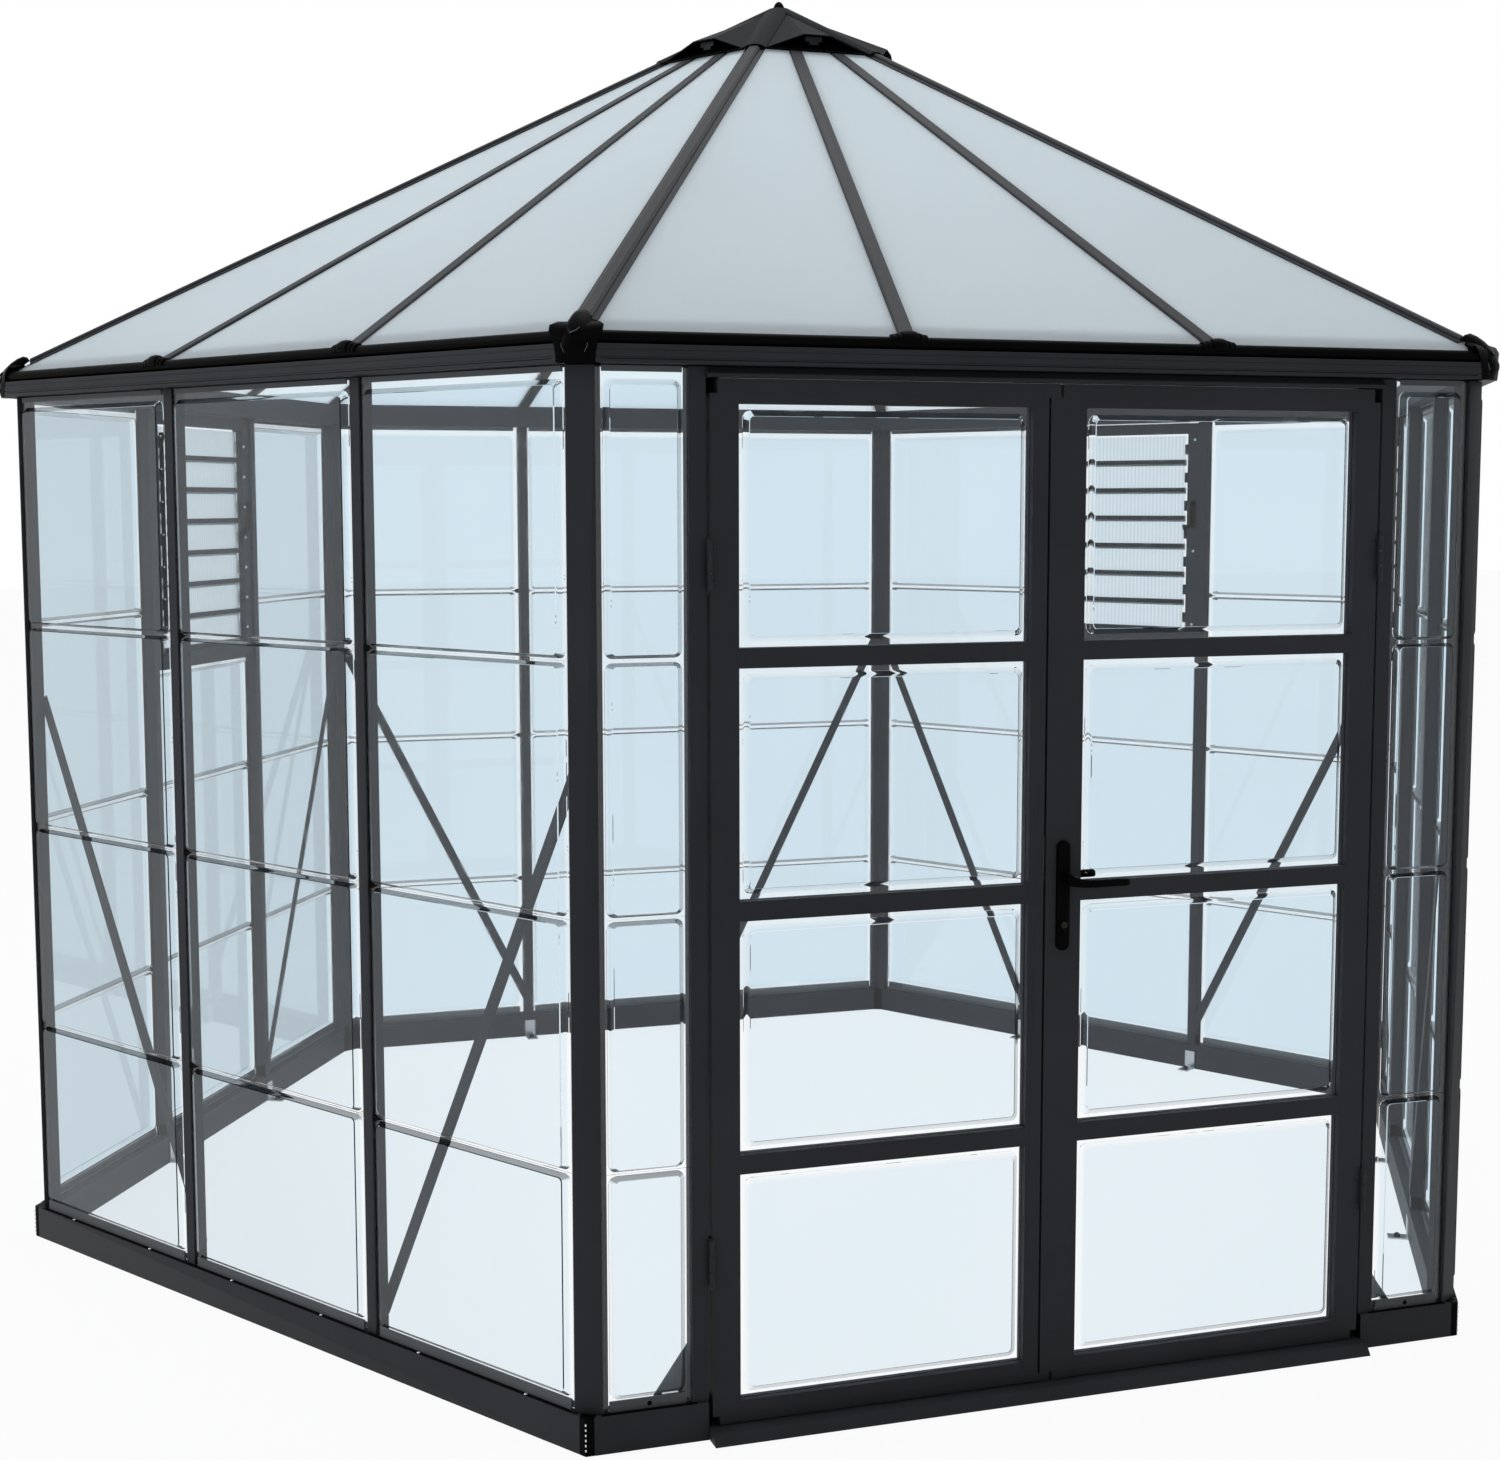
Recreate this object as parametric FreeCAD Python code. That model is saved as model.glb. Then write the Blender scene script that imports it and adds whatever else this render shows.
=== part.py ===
import FreeCAD, Part
import math
import os

os.makedirs("parts", exist_ok=True)

# Driving dimensions in millimetres and degrees.
# A wall is drawn as the front one: s runs along it, a is the distance out from the axis, z is up.
# A setback is measured inwards from the base's outer face, or from the corner along the wall.

# Plan and heights
wall_face = 1507.0
wall_count = 6
post_place = 290.0
jamb_inner = 649.0
wall_top = 1833.0
row_shares = [0.263, 0.5003, 0.7365]

# Base
base_height = 67.0
base_depth = 44.0
base_wall = 2.0
base_corner_half = 13.0
base_corner_flat = 2.0
spigot_length = 40.0
threshold_height = 20.0
threshold_top_reach = 23.0
threshold_reach = 37.0
threshold_lap = 1.5

# Posts
post_width = 26.0
post_setback = 9.0
post_back_setback = 41.0
post_web_half = 4.0
post_wall = 1.6
corner_flat_setback = 21.0
corner_flat_half = 25.0
corner_cap_setback = 34.0
corner_groove_setback = 28.0
corner_inner_setback = 44.0
jamb_width = 30.0
jamb_setback = 7.0
groove_depth = 8.0

# Clear pans and the bars that hold them
pan_thickness = 3.0
pan_setback = 16.4
pan_flange = 18.0
row_flange = 9.5
pan_bevel = 10.0
pan_bulge = 12.0
groove_gap = 0.4
edge_gap = 0.5
bar_height = 20.0
head_height = 10.0
bar_setback = 9.4
bar_depth = 10.6
bar_floor = 3.0
bar_end_gap = 10.0

# Bracing and feet
brace_width = 25.0
brace_thickness = 3.0
brace_top_height = 1190.0
brace_top_lap = 4.0
brace_foot_rise = 38.0
gusset_width = 60.0
gusset_height = 93.0
gusset_slot = (30.0, 4.0)
bracket_width = 30.0
bracket_height = 50.0
bracket_reach = 43.0
bracket_plate = 3.0
anchor_hole_radius = 4.5
anchor_setback = 23.0

# Eaves
eave_rise = 47.0
beam_setback = 21.0
beam_depth = 31.0
beam_wall = 2.0
gutter_gap = 1.0
gutter_depth = 40.0
gutter_lift = 2.0
gutter_height = 30.6
gutter_wall = 2.4
gutter_lip = 14.0
gutter_rib = 1.5
gutter_rib_heights = [10.0, 22.0]
gutter_end = 33.5
roll_radius = 10.8
roll_reach = 7.5
roll_drop = 3.5
roll_end_setback = 35.0
clip_half = 33.0
clip_wall = 2.7
clip_arc = (0.0, 135.0)
clip_knob = (10.0, 7.0, 9.0)
connector_half = 33.0
connector_overhang = 11.0
connector_lap = 2.0
hood_half = 23.75
hood_lift = 4.0
hood_back = 32.0
hood_crest = [(0.0, 12.0), (8.0, 13.0), (36.0, -4.0), (52.0, -15.5), (63.0, -31.0), (68.0, -46.0)]
hood_crest += [(65.0, -56.0), (60.5, -60.0)]
hood_insets = [(11.0, 0.0), (0.0, 22.0), (0.0, 64.0), (12.0, 83.0)]
dish_half = 14.0
dish_floor = [(34.0, 2.0), (46.0, -18.0), (53.0, -38.0), (75.0, -50.0), (75.0, 2.0)]

# Roof
roof_pitch = 30.0
panel_thickness = 6.0
panel_overhang = 3.0
panel_high = 175.0
hip_half = 22.5
hip_rise = 10.7
hip_crown_half = 13.5
hip_crown_flat = 8.5
hip_crown_slant = 4.0
hip_box_half = 15.0
hip_setback = 50.0
hip_top_end = 173.0
rafter_half = 15.0
rafter_rise = 8.0
rafter_round = 2.2
rafter_box_half = 13.0
rafter_setback = 8.0
rafter_top_end = 150.0
rafter_depth = 14.5
cover_thickness = 3.0
hub_outer = 215.0
hub_inner = 120.0
hub_height = 22.0

# Apex cap
cap_radius = 300.0
cap_wall = 3.0
cap_rise = 5.0
cap_gap = 0.5
cap_rib_half = 26.0
cap_rib_end = 43.0
vent_front = (88.0, 27.0)
vent_drop = 0.7
vent_height = 36.0
vent_back = 137.0
vent_roof = 4.2
vent_taper = 0.3
finial_profile = [(12.0, 0.0), (12.0, 3.4), (5.4, 6.8), (9.0, 11.0), (7.2, 15.3), (3.0, 17.0)]

# Door leaves
leaf_setback = 3.0
leaf_thickness = 26.0
leaf_gap = 6.0
leaf_lift = 3.0
end_profile_low = 15.0
end_profile_high = 24.0
bottom_rail = 24.0
top_rail = 17.0
leaf_head_gap = 2.0
hinge_stile = 50.0
rail_end_step = 13.0
left_glass_edge = 56.0
left_stile_edge = 26.0
left_rail_edge = 3.0
right_glass_edge = 47.0
right_box_edge = 2.0
lip_edge = 22.0
lip_thickness = 6.0
leaf_bar_shares = [0.2619, 0.5019, 0.7365]
leaf_bar_height = 34.0
leaf_wall = 2.0
leaf_pane_depth = 10.5
leaf_pane_bulge = 9.0
header_height = 17.0
header_reach = 5.0
header_face = 6.0

# Hinges
hinge_stand = 6.5
hinge_low = 289.5
hinge_high = 307.5
hinge_height = 83.0
hinge_plate = 2.3
hinge_plate_setback = 3.0
knuckle_radius = 5.0
knuckle_gap = 0.4
pin_radius = 2.5
running_gap = 0.05

# Flats on the round parts that repeat or are small, and the round part of a bearing rod
pin_sides = 6
socket_sides = 4
barrel_sides = 8
roll_sides = 8
bearing_arc = 8.0

# Handle and lock
handle_place = 11.0
handle_plate_width = 28.6
handle_plate_height = 198.0
handle_plate_thickness = 8.0
handle_plate_slope = 2.5
handle_plate_steps = 6
lever_height = 947.0
lever_length = 110.0
lever_width = 12.5
lever_reach = 39.0
lever_elbow = (4.0, 14.0)
lever_chamfer = 2.5
lever_neck_radius = 9.0
lever_collar = 4.0
spindle_size = 8.0
lock_drop = 85.0
lock_foot = 47.0
lock_radius = 9.0
lock_stand = 2.0
plug_radius = 6.0
key_slot = (2.0, 8.0, 6.0)
case_size = (32.0, 14.0, 170.0)
case_foot = 27.0
bolt_rise = 35.0
bolt_size = (27.5, 8.0, 14.0)
bolt_reach = 11.5
bolt_throw = 10.5
slide_gap = 0.4
strike_size = (2.0, 18.0, 80.0)

# Louvre windows
louvre_walls = {"left": 4, "right": 2}
louvre_setback = 7.0
louvre_depth = 26.0
louvre_stile = 50.0
louvre_head_gap = 3.0
louvre_top_rail = 29.0
louvre_bottom_rail = 31.0
louvre_upstand = 8.5
louvre_upstand_depth = 10.5
slat_count = 7
slat_head = 72.6
slat_foot = 79.7
slat_pitch = 78.45
slat_setback = 20.0
slat_gap = 2.45
slat_thickness = 4.0
slat_end_gaps = (14.0, 26.0)
edge_bar_walls = (1.45, 2.5)
edge_bar_lap = 10.0
edge_bar_drip = 7.0
edge_bar_step = 1.0
slat_clip = 8.0
slat_clip_half = (5.0, 14.0)
pivot_radius = 2.5
pivot_depth = 12.0
pivot_end_gap = 1.0
crank_length = 20.0
crank_angle = 45.0
crank_pin_radius = 2.0
link_width = 10.0
link_thickness = 4.5
link_gap = 1.0
link_overhang = 9.0
lever_plate = 3.4
lever_crank = 30.0
lever_bar = 8.0
lever_handle_gap = 22.0
lever_handle_width = 12.0
lever_rise = 93.0

# How far a cutting tool passes the face that it cuts
overrun = 1.0

# Angles and the plan that follow from the driving dimensions
turn = 360.0 / wall_count
half_turn = math.radians(turn / 2)
cos_half = math.cos(half_turn)
sin_half = math.sin(half_turn)
tan_half = math.tan(half_turn)
pitch = math.radians(roof_pitch)
hip_slope = math.tan(pitch) * cos_half
hip_pitch = math.atan(hip_slope)
hip_droop = math.acos(math.cos(pitch) / math.cos(hip_pitch))
corner_radius = wall_face / cos_half
corner_place = wall_face * tan_half
corner_flat_radius = corner_radius - corner_flat_setback
corner_cap_edge = corner_place - corner_cap_setback
corner_groove_end = corner_place - corner_groove_setback
corner_inner_edge = corner_place - corner_inner_setback
jamb_outer = jamb_inner + jamb_width
post_half = post_width / 2
web_half = post_web_half

# Depths of the wall
base_inner = wall_face - base_depth
anchor_place = base_inner - anchor_setback
post_cap_face = wall_face - post_setback
post_inner = wall_face - post_back_setback
jamb_face = wall_face - jamb_setback
pan_back = wall_face - pan_setback
groove_back = pan_back - groove_gap
groove_front = pan_back + pan_thickness + groove_gap
bar_face = wall_face - bar_setback
bar_inner = bar_face - bar_depth
row_joints = [wall_top * share for share in row_shares]

# Eaves and roof
beam_outer = wall_face - beam_setback
beam_inner = beam_outer - beam_depth
gutter_inner = beam_outer + gutter_gap
gutter_outer = gutter_inner + gutter_depth
gutter_bottom = wall_top + gutter_lift
gutter_top = gutter_bottom + gutter_height
eave_height = wall_top + eave_rise
roll_place = (wall_face + roll_reach, eave_height - roll_drop)
roll_half = corner_place - roll_end_setback
connector_nose = corner_radius + connector_overhang
panel_apex = eave_height + wall_face * math.tan(pitch)
half_panel = panel_thickness / 2
panel_low = wall_face + panel_overhang
hip_foot = corner_radius - hip_setback
rafter_foot = wall_face - rafter_setback
cap_crown = panel_apex + rafter_rise / math.cos(pitch) + cap_gap
cap_rim = cap_crown - hip_slope * cap_radius
cap_top = panel_apex + cap_rise
vent_low = cap_rim - vent_drop
vent_high = vent_low + vent_height

# Doors
leaf_face = wall_face - leaf_setback
leaf_inner = leaf_face - leaf_thickness
leaf_middle = (leaf_face + leaf_inner) / 2
leaf_edge = jamb_inner - leaf_gap
glass_hinge_side = leaf_edge - hinge_stile
header_low = wall_top - header_height
leaf_bottom = threshold_height + leaf_lift
leaf_top = header_low - leaf_head_gap
stile_bottom = leaf_bottom + end_profile_low
stile_top = leaf_top - end_profile_high
glass_low = stile_bottom + bottom_rail
glass_high = stile_top - top_rail
leaf_bar_centres = [wall_top * share for share in leaf_bar_shares]
leaf_pane_back = leaf_inner + leaf_pane_depth
leaf_groove_back = leaf_pane_back - groove_gap
leaf_groove_front = leaf_pane_back + pan_thickness + groove_gap
hinge_axis = ((jamb_inner + leaf_edge) / 2, leaf_face + hinge_stand)
hinge_centres = [leaf_bottom + hinge_low, leaf_top - hinge_high]
hinge_plate_inner = leaf_inner + hinge_plate_setback
lock_height = lever_height - lock_drop
handle_plate_low = lock_height - lock_foot
handle_plate_high = handle_plate_low + handle_plate_height
case_low = lock_height - case_foot
bolt_height = lever_height + bolt_rise

# Louvres
louvre_face = wall_face - louvre_setback
louvre_inner = louvre_face - louvre_depth
louvre_high = wall_top - louvre_head_gap
louvre_stile_edge = post_place - louvre_stile
slat_plane = wall_face - slat_setback
slat_half = (slat_pitch - slat_gap) / 2
slat_ends = (slat_end_gaps[0] - louvre_stile_edge, louvre_stile_edge - slat_end_gaps[1])
slat_pivots = [louvre_high - slat_head - slat_pitch * index for index in range(slat_count)]
louvre_low = slat_pivots[-1] - slat_foot
lever_handle_place = -louvre_stile_edge - lever_handle_gap
rafter_spread = post_place / slat_plane
rafter_slant = math.atan(rafter_spread * math.cos(pitch))
ORIGIN = FreeCAD.Vector(0, 0, 0)
UP = FreeCAD.Vector(0, 0, 1)


# Points and basic solids
def wall_point(s, a, z):
    return FreeCAD.Vector(s, -a, z)


def corner_point(r, q, z):
    return FreeCAD.Vector(sin_half * r + cos_half * q, -cos_half * r + sin_half * q, z)


def roof_point(u, v, n):
    a = v * math.cos(pitch) + n * math.sin(pitch)
    z = panel_apex - v * math.sin(pitch) + n * math.cos(pitch)
    return wall_point(u, a, z)


def drawn(points, sweep, hole=None):
    wires = [Part.makePolygon(points + points[:1])]
    if hole:
        wires.append(Part.makePolygon(hole + hole[:1]))
    return Part.Face(wires, "Part::FaceMakerBullseye").extrude(sweep)


def upright(section, low, high, hole=None):
    points = [wall_point(s, a, low) for s, a in section]
    inside = [wall_point(s, a, low) for s, a in hole] if hole else None
    return drawn(points, UP * (high - low), inside)


def along(section, left, right, hole=None):
    points = [wall_point(left, a, z) for a, z in section]
    inside = [wall_point(left, a, z) for a, z in hole] if hole else None
    return drawn(points, FreeCAD.Vector(right - left, 0, 0), inside)


def outward(section, inner, outer):
    points = [wall_point(s, inner, z) for s, z in section]
    return drawn(points, FreeCAD.Vector(0, inner - outer, 0))


def rectangle(x0, x1, y0, y1):
    return [(x0, y0), (x1, y0), (x1, y1), (x0, y1)]


def block(s0, s1, a0, a1, z0, z1):
    return upright(rectangle(s0, s1, a0, a1), z0, z1)


def rod(radius, start, end):
    span = end - start
    return Part.makeCylinder(radius, span.Length, start, span)


def flat_rod(radius, start, end, sides, bearing=False):
    # Rod with flats, whose corners lie on the radius; one corner of a bearing rod is round
    span = end - start
    reach = span.cross(FreeCAD.Vector(1, 1, 1))
    reach = reach * (radius / reach.Length)

    def at(angle):
        return start + FreeCAD.Rotation(span, angle).multVec(reach)

    corners = [at(360 * k / sides) for k in range(1, sides)]
    if not bearing:
        return drawn(corners + [at(0)], span)
    flank = bearing_arc / 2
    flats = Part.makePolygon([at(flank)] + corners + [at(-flank)])
    round_corner = Part.Arc(at(-flank), at(0), at(flank)).toShape()
    return Part.Face(Part.Wire(flats.Edges + [round_corner])).extrude(span)


def pin(radius, start, end, bearing=True):
    return flat_rod(radius, start, end, pin_sides, bearing)


def flat_bore(radius, start, end, sides):
    # The flats lie a running gap outside the corners of a rod of that radius
    return flat_rod((radius + running_gap) / math.cos(math.pi / sides), start, end, sides)


def pin_bore(radius, start, end):
    return flat_bore(radius, start, end, socket_sides)


def mirrored(shape):
    return shape.mirror(ORIGIN, FreeCAD.Vector(1, 0, 0))


def on_wall(shape, index):
    placed = shape.copy()
    placed.rotate(ORIGIN, UP, turn * index)
    return placed


def all_round(shape):
    return [on_wall(shape, index) for index in range(wall_count)]


def wedge(inset, low, high):
    # Sixth of the plan whose two sides stand back from the corner planes
    near = hub_inner / 2
    far = 2 * corner_radius
    near_half = near * tan_half - inset / cos_half
    far_half = far * tan_half - inset / cos_half
    plan = [(-near_half, near), (near_half, near), (far_half, far), (-far_half, far)]
    return upright(plan, low, high)


def mitred(section, inset, hole=None):
    heights = [z for a, z in section]
    full = along(section, -corner_radius, corner_radius, hole)
    return full.common(wedge(inset, min(heights) - overrun, max(heights) + overrun))


def export(name, solids):
    Part.makeCompound(solids).exportStep("parts/" + name + ".step")


# Base ring, its corners and the door sill
def base_section(margin):
    return rectangle(base_inner + margin, wall_face - margin, margin, base_height - margin)


def base_rails():
    full = mitred(base_section(0), base_corner_half, base_section(base_wall))
    door_half = jamb_inner + base_wall
    door_gap = block(-door_half, door_half, 0, corner_radius, -overrun, base_height + overrun)
    front = full.cut(door_gap)
    return front.Solids + [on_wall(full, index) for index in range(1, wall_count)]


def base_corner():
    half = base_corner_half - edge_gap / 2
    side_radius = (wall_face - sin_half * half) / cos_half
    inner_radius = (base_inner - sin_half * half) / cos_half
    nose = corner_radius - base_corner_flat * tan_half
    plan = [(inner_radius, -half), (side_radius, -half), (nose, -base_corner_flat)]
    plan += [(r, -q) for r, q in reversed(plan)]
    body = drawn([corner_point(r, q, 0) for r, q in plan], UP * base_height)
    spigot = mitred(base_section(base_wall + groove_gap), half - base_wall)
    reach = block(0, corner_radius, 0, corner_radius, -overrun, base_height + overrun)
    tip = spigot.common(reach).cut(wedge(half + spigot_length, -overrun, base_height + overrun))
    other = on_wall(mirrored(tip), 1)
    return body.fuse([tip, other]).removeSplitter()


def door_threshold():
    profile = [(base_inner, 0), (wall_face + threshold_reach, 0)]
    profile += [(wall_face + threshold_top_reach, threshold_height), (base_inner, threshold_height)]
    half = jamb_inner + threshold_lap
    return along(profile, -half, half)


# Uprights
def wall_post(place):
    half = [(post_half, post_cap_face), (post_half, groove_front), (web_half, groove_front)]
    half += [(web_half, groove_back), (post_half, groove_back), (post_half, post_inner)]
    section = half + [(-s, a) for s, a in reversed(half)]
    hollow = rectangle(post_wall - post_half, post_half - post_wall,
                       post_inner + post_wall, groove_back - post_wall)
    shift = FreeCAD.Vector(place, 0, 0)
    return upright(section, base_height, wall_top, hollow).translate(shift)


def corner_section(half):
    # The other half mirrors the first one in the corner plane, where the last point lies
    points = [wall_point(s, a, base_height) for s, a in half]
    across = FreeCAD.Vector(cos_half, sin_half, 0)
    return points + [p - across * (2 * p.dot(across)) for p in reversed(points[:-1])]


def corner_post():
    flat_s = sin_half * corner_flat_radius - cos_half * corner_flat_half
    flat_a = cos_half * corner_flat_radius + sin_half * corner_flat_half
    half = [(flat_s, flat_a), (corner_cap_edge, groove_front), (corner_groove_end, groove_front)]
    half += [(corner_groove_end, groove_back), (corner_inner_edge, groove_back)]
    half += [(corner_inner_edge, post_inner), (post_inner * tan_half, post_inner)]
    inside = post_inner + post_wall
    behind = groove_back - post_wall
    hollow = [(corner_groove_end + 2 * post_wall, groove_front), (corner_groove_end + 2 * post_wall, behind)]
    hollow += [(corner_inner_edge + post_wall, behind), (corner_inner_edge + post_wall, inside)]
    hollow.append((inside * tan_half, inside))
    return drawn(corner_section(half), UP * (wall_top - base_height), corner_section(hollow))


def door_jamb():
    section = [(jamb_inner, post_inner), (jamb_outer, post_inner), (jamb_outer, groove_back)]
    section += [(jamb_outer - groove_depth, groove_back), (jamb_outer - groove_depth, groove_front)]
    section += [(jamb_outer, groove_front), (jamb_outer, jamb_face), (jamb_inner, jamb_face)]
    hollow = rectangle(jamb_inner + post_wall, jamb_outer - groove_depth - post_wall,
                       post_inner + post_wall, jamb_face - post_wall)
    return upright(section, base_height, wall_top, hollow)


def door_header():
    nose = wall_face + header_reach
    profile = [(post_inner, header_low), (nose, header_low), (nose, header_low + header_face)]
    profile += [(jamb_face, wall_top), (post_inner, wall_top)]
    return along(profile, -jamb_inner, jamb_inner)


# Bars under and over the pans
def sill_bar(left, right):
    top = base_height + bar_height
    floor = base_height + bar_floor
    profile = [(bar_inner, base_height), (bar_face, base_height), (bar_face, top), (groove_front, top)]
    profile += [(groove_front, floor), (bar_inner, floor)]
    return along(profile, left, right)


def head_bar(left, right):
    low = wall_top - head_height
    roof = wall_top - bar_floor
    profile = [(bar_inner, wall_top), (bar_inner, roof), (groove_front, roof), (groove_front, low)]
    profile += [(bar_face, low), (bar_face, wall_top)]
    return along(profile, left, right)


# A clear pan: flat flange, bevel and raised middle, pressed from one sheet
def pan(s0, s1, z0, z1, back, bulge, low_rim=pan_flange, high_rim=pan_flange):
    front = back + pan_thickness
    sheet = block(s0, s1, back, front, z0, z1)
    field = (s0 + pan_flange, s1 - pan_flange, z0 + low_rim, z1 - high_rim)
    raised = pan_form(*field, front, bulge)
    hollow = pan_form(*field, back, bulge)
    return sheet.fuse(raised).cut(hollow).removeSplitter()


def pan_form(s0, s1, z0, z1, start, rise):
    inset = pan_bevel
    return Part.makeWedge(s0 + inset, -start - rise, z0 + inset, z0, s0,
                          s1 - inset, -start, z1 - inset, z1, s1)


def pan_rows(s0, s1, top):
    low = base_height + bar_floor + edge_gap
    levels = [low] + [z for z in row_joints if z < top] + [top]
    gap = edge_gap / 2
    rows = []
    for start, end in zip(levels, levels[1:]):
        z0, low_rim = (start, pan_flange) if start == low else (start + gap, row_flange)
        z1, high_rim = (end, pan_flange) if end == top else (end - gap, row_flange)
        rows.append(pan(s0, s1, z0, z1, pan_back, pan_bulge, low_rim, high_rim))
    return rows


# Walls: the bays are the same on every wall but the door wall
corner_bay = (post_place + web_half + edge_gap, corner_groove_end - edge_gap)
middle_bay = (edge_gap + web_half - post_place, post_place - web_half - edge_gap)
door_bay = (jamb_outer - groove_depth + edge_gap, corner_groove_end - edge_gap)
pan_top = wall_top - bar_floor - edge_gap
louvre_pan_top = louvre_low + groove_depth - edge_gap


def wall_panels():
    side_pans = pan_rows(*corner_bay, pan_top)
    side_pans += [mirrored(shape) for shape in side_pans]
    full_middle = pan_rows(*middle_bay, pan_top)
    short_middle = pan_rows(*middle_bay, louvre_pan_top)
    door_pans = pan_rows(*door_bay, pan_top)
    solids = door_pans + [mirrored(shape) for shape in door_pans]
    for index in range(1, wall_count):
        middle = short_middle if index in louvre_walls.values() else full_middle
        solids += [on_wall(shape, index) for shape in side_pans + middle]
    return solids


def glazing_bars(bar, over_louvres):
    far = corner_inner_edge - edge_gap
    near = post_place + post_half + bar_end_gap
    side = bar(near, far)
    middle_half = post_place - post_half - bar_end_gap
    middle = bar(-middle_half, middle_half)
    door_side = bar(jamb_outer + bar_end_gap, far)
    solids = [door_side, mirrored(door_side)]
    for index in range(1, wall_count):
        solids += [on_wall(side, index), on_wall(mirrored(side), index)]
        if over_louvres or index not in louvre_walls.values():
            solids.append(on_wall(middle, index))
    return solids


# Diagonal braces, jamb gussets and ground brackets
def corner_brace():
    foot = (post_place, base_height + brace_foot_rise)
    top = (corner_inner_edge + brace_top_lap, brace_top_height)
    run = top[0] - foot[0]
    rise = top[1] - foot[1]
    length = math.hypot(run, rise)
    side_s = rise / length * brace_width / 2
    side_z = -run / length * brace_width / 2
    outline = []
    for (s, z), way in ((foot, -1), (foot, 1), (top, 1), (top, -1)):
        outline.append((s + way * side_s, z + way * side_z))
    return outward(outline, post_inner - brace_thickness, post_inner)


def gusset_plate():
    low = base_height + edge_gap
    foot = jamb_outer + gusset_width
    outline = [(jamb_inner + post_wall, low), (foot, low), (foot, low + 2 * gusset_slot[1])]
    outline += [(jamb_outer, low + gusset_height), (jamb_inner + post_wall, low + gusset_height)]
    plate = outward(outline, post_inner - brace_thickness, post_inner)
    slot_s = jamb_outer + (gusset_width - gusset_slot[0]) / 2
    slot_z = low + 2 * gusset_slot[1]
    slot = block(slot_s, slot_s + gusset_slot[0], 0, corner_radius, slot_z, slot_z + gusset_slot[1])
    return plate.cut(slot)


def anchor_bracket(place):
    profile = [(base_inner, 0), (base_inner, bracket_height), (base_inner - bracket_plate, bracket_height)]
    profile += [(base_inner - bracket_plate, bracket_plate), (base_inner - bracket_reach, bracket_plate)]
    profile.append((base_inner - bracket_reach, 0))
    body = along(profile, place - bracket_width / 2, place + bracket_width / 2)
    start = wall_point(place, anchor_place, -overrun)
    return body.cut(rod(anchor_hole_radius, start, start + UP * bracket_height))


# Eaves: ring beam, gutter, round trim, clips and corner connectors
def beam_crown(a):
    return panel_apex - a * math.tan(pitch) - rafter_depth / math.cos(pitch)


def ring_beam():
    outer = [(beam_inner, wall_top), (beam_outer, wall_top)]
    outer += [(beam_outer, beam_crown(beam_outer)), (beam_inner, beam_crown(beam_inner))]
    low = wall_top + beam_wall
    drop = beam_wall / math.cos(pitch)
    left = beam_inner + beam_wall
    right = beam_outer - beam_wall
    hollow = [(left, low), (right, low), (right, beam_crown(right) - drop), (left, beam_crown(left) - drop)]
    return mitred(outer, groove_gap / 4, hollow)


def gutter():
    floor = gutter_bottom + gutter_wall
    inside = gutter_outer - gutter_wall
    under_lip = gutter_top - gutter_wall
    lip = gutter_outer - gutter_lip
    back = gutter_inner + gutter_wall
    profile = [(gutter_inner, gutter_bottom), (gutter_outer, gutter_bottom)]
    for height in gutter_rib_heights:
        for step in (-1, 0, 1):
            a = gutter_outer - gutter_rib * (1 - abs(step))
            profile.append((a, gutter_bottom + height + step * gutter_rib))
    profile += [(gutter_outer, gutter_top), (lip, gutter_top), (lip, under_lip), (inside, under_lip)]
    profile += [(inside, floor), (back, floor), (back, gutter_top), (gutter_inner, gutter_top)]
    return mitred(profile, gutter_end)


def roof_slab(outline, half_thickness):
    points = [roof_point(u, v, -half_thickness) for u, v in outline]
    sweep = roof_point(0, 0, half_thickness) - roof_point(0, 0, -half_thickness)
    return drawn(points, sweep)


def eave_trim():
    a, z = roll_place
    roll = flat_rod(roll_radius, wall_point(-roll_half, a, z), wall_point(roll_half, a, z), roll_sides)
    seat = panel_low / math.cos(pitch) + edge_gap
    outline = rectangle(-corner_radius, corner_radius, seat - 4 * roll_radius, seat)
    return roll.cut(roof_slab(outline, half_panel + groove_gap))


def rafter_clip(place):
    # Saddle over the upper outer side of the trim, with a knob on its crown
    a, z = roll_place
    inner = roll_radius + edge_gap / 2

    def arc(radius):
        first, last = clip_arc
        step = 360 / roll_sides
        angles = [math.radians(first + step * k) for k in range(round((last - first) / step) + 1)]
        return [(a + radius * math.cos(angle), z + radius * math.sin(angle)) for angle in angles]

    saddle = along(arc(inner + clip_wall) + arc(inner)[::-1], -clip_half, clip_half)
    knob_half, knob_depth, knob_rise = clip_knob
    crown = z + inner
    knob = block(-knob_half, knob_half, a - knob_depth, a + knob_depth, crown, crown + knob_rise)
    return saddle.fuse(knob).removeSplitter().translate(FreeCAD.Vector(place, 0, 0))


def corner_panel_outline(grow):
    lean = half_panel * math.sin(hip_droop)
    hip_gap = (web_half + edge_gap + lean) / math.cos(hip_droop) - grow
    rafter_gap = web_half + edge_gap - grow
    low = panel_low / math.cos(pitch) + grow
    high = panel_high / math.cos(pitch) - grow

    def rafter_line(v):
        return v * math.tan(rafter_slant) + rafter_gap / math.cos(rafter_slant)

    def hip_line(v):
        return v * sin_half - hip_gap * math.hypot(1, sin_half)

    return [(rafter_line(low), low), (hip_line(low), low), (hip_line(high), high), (rafter_line(high), high)]


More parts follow.
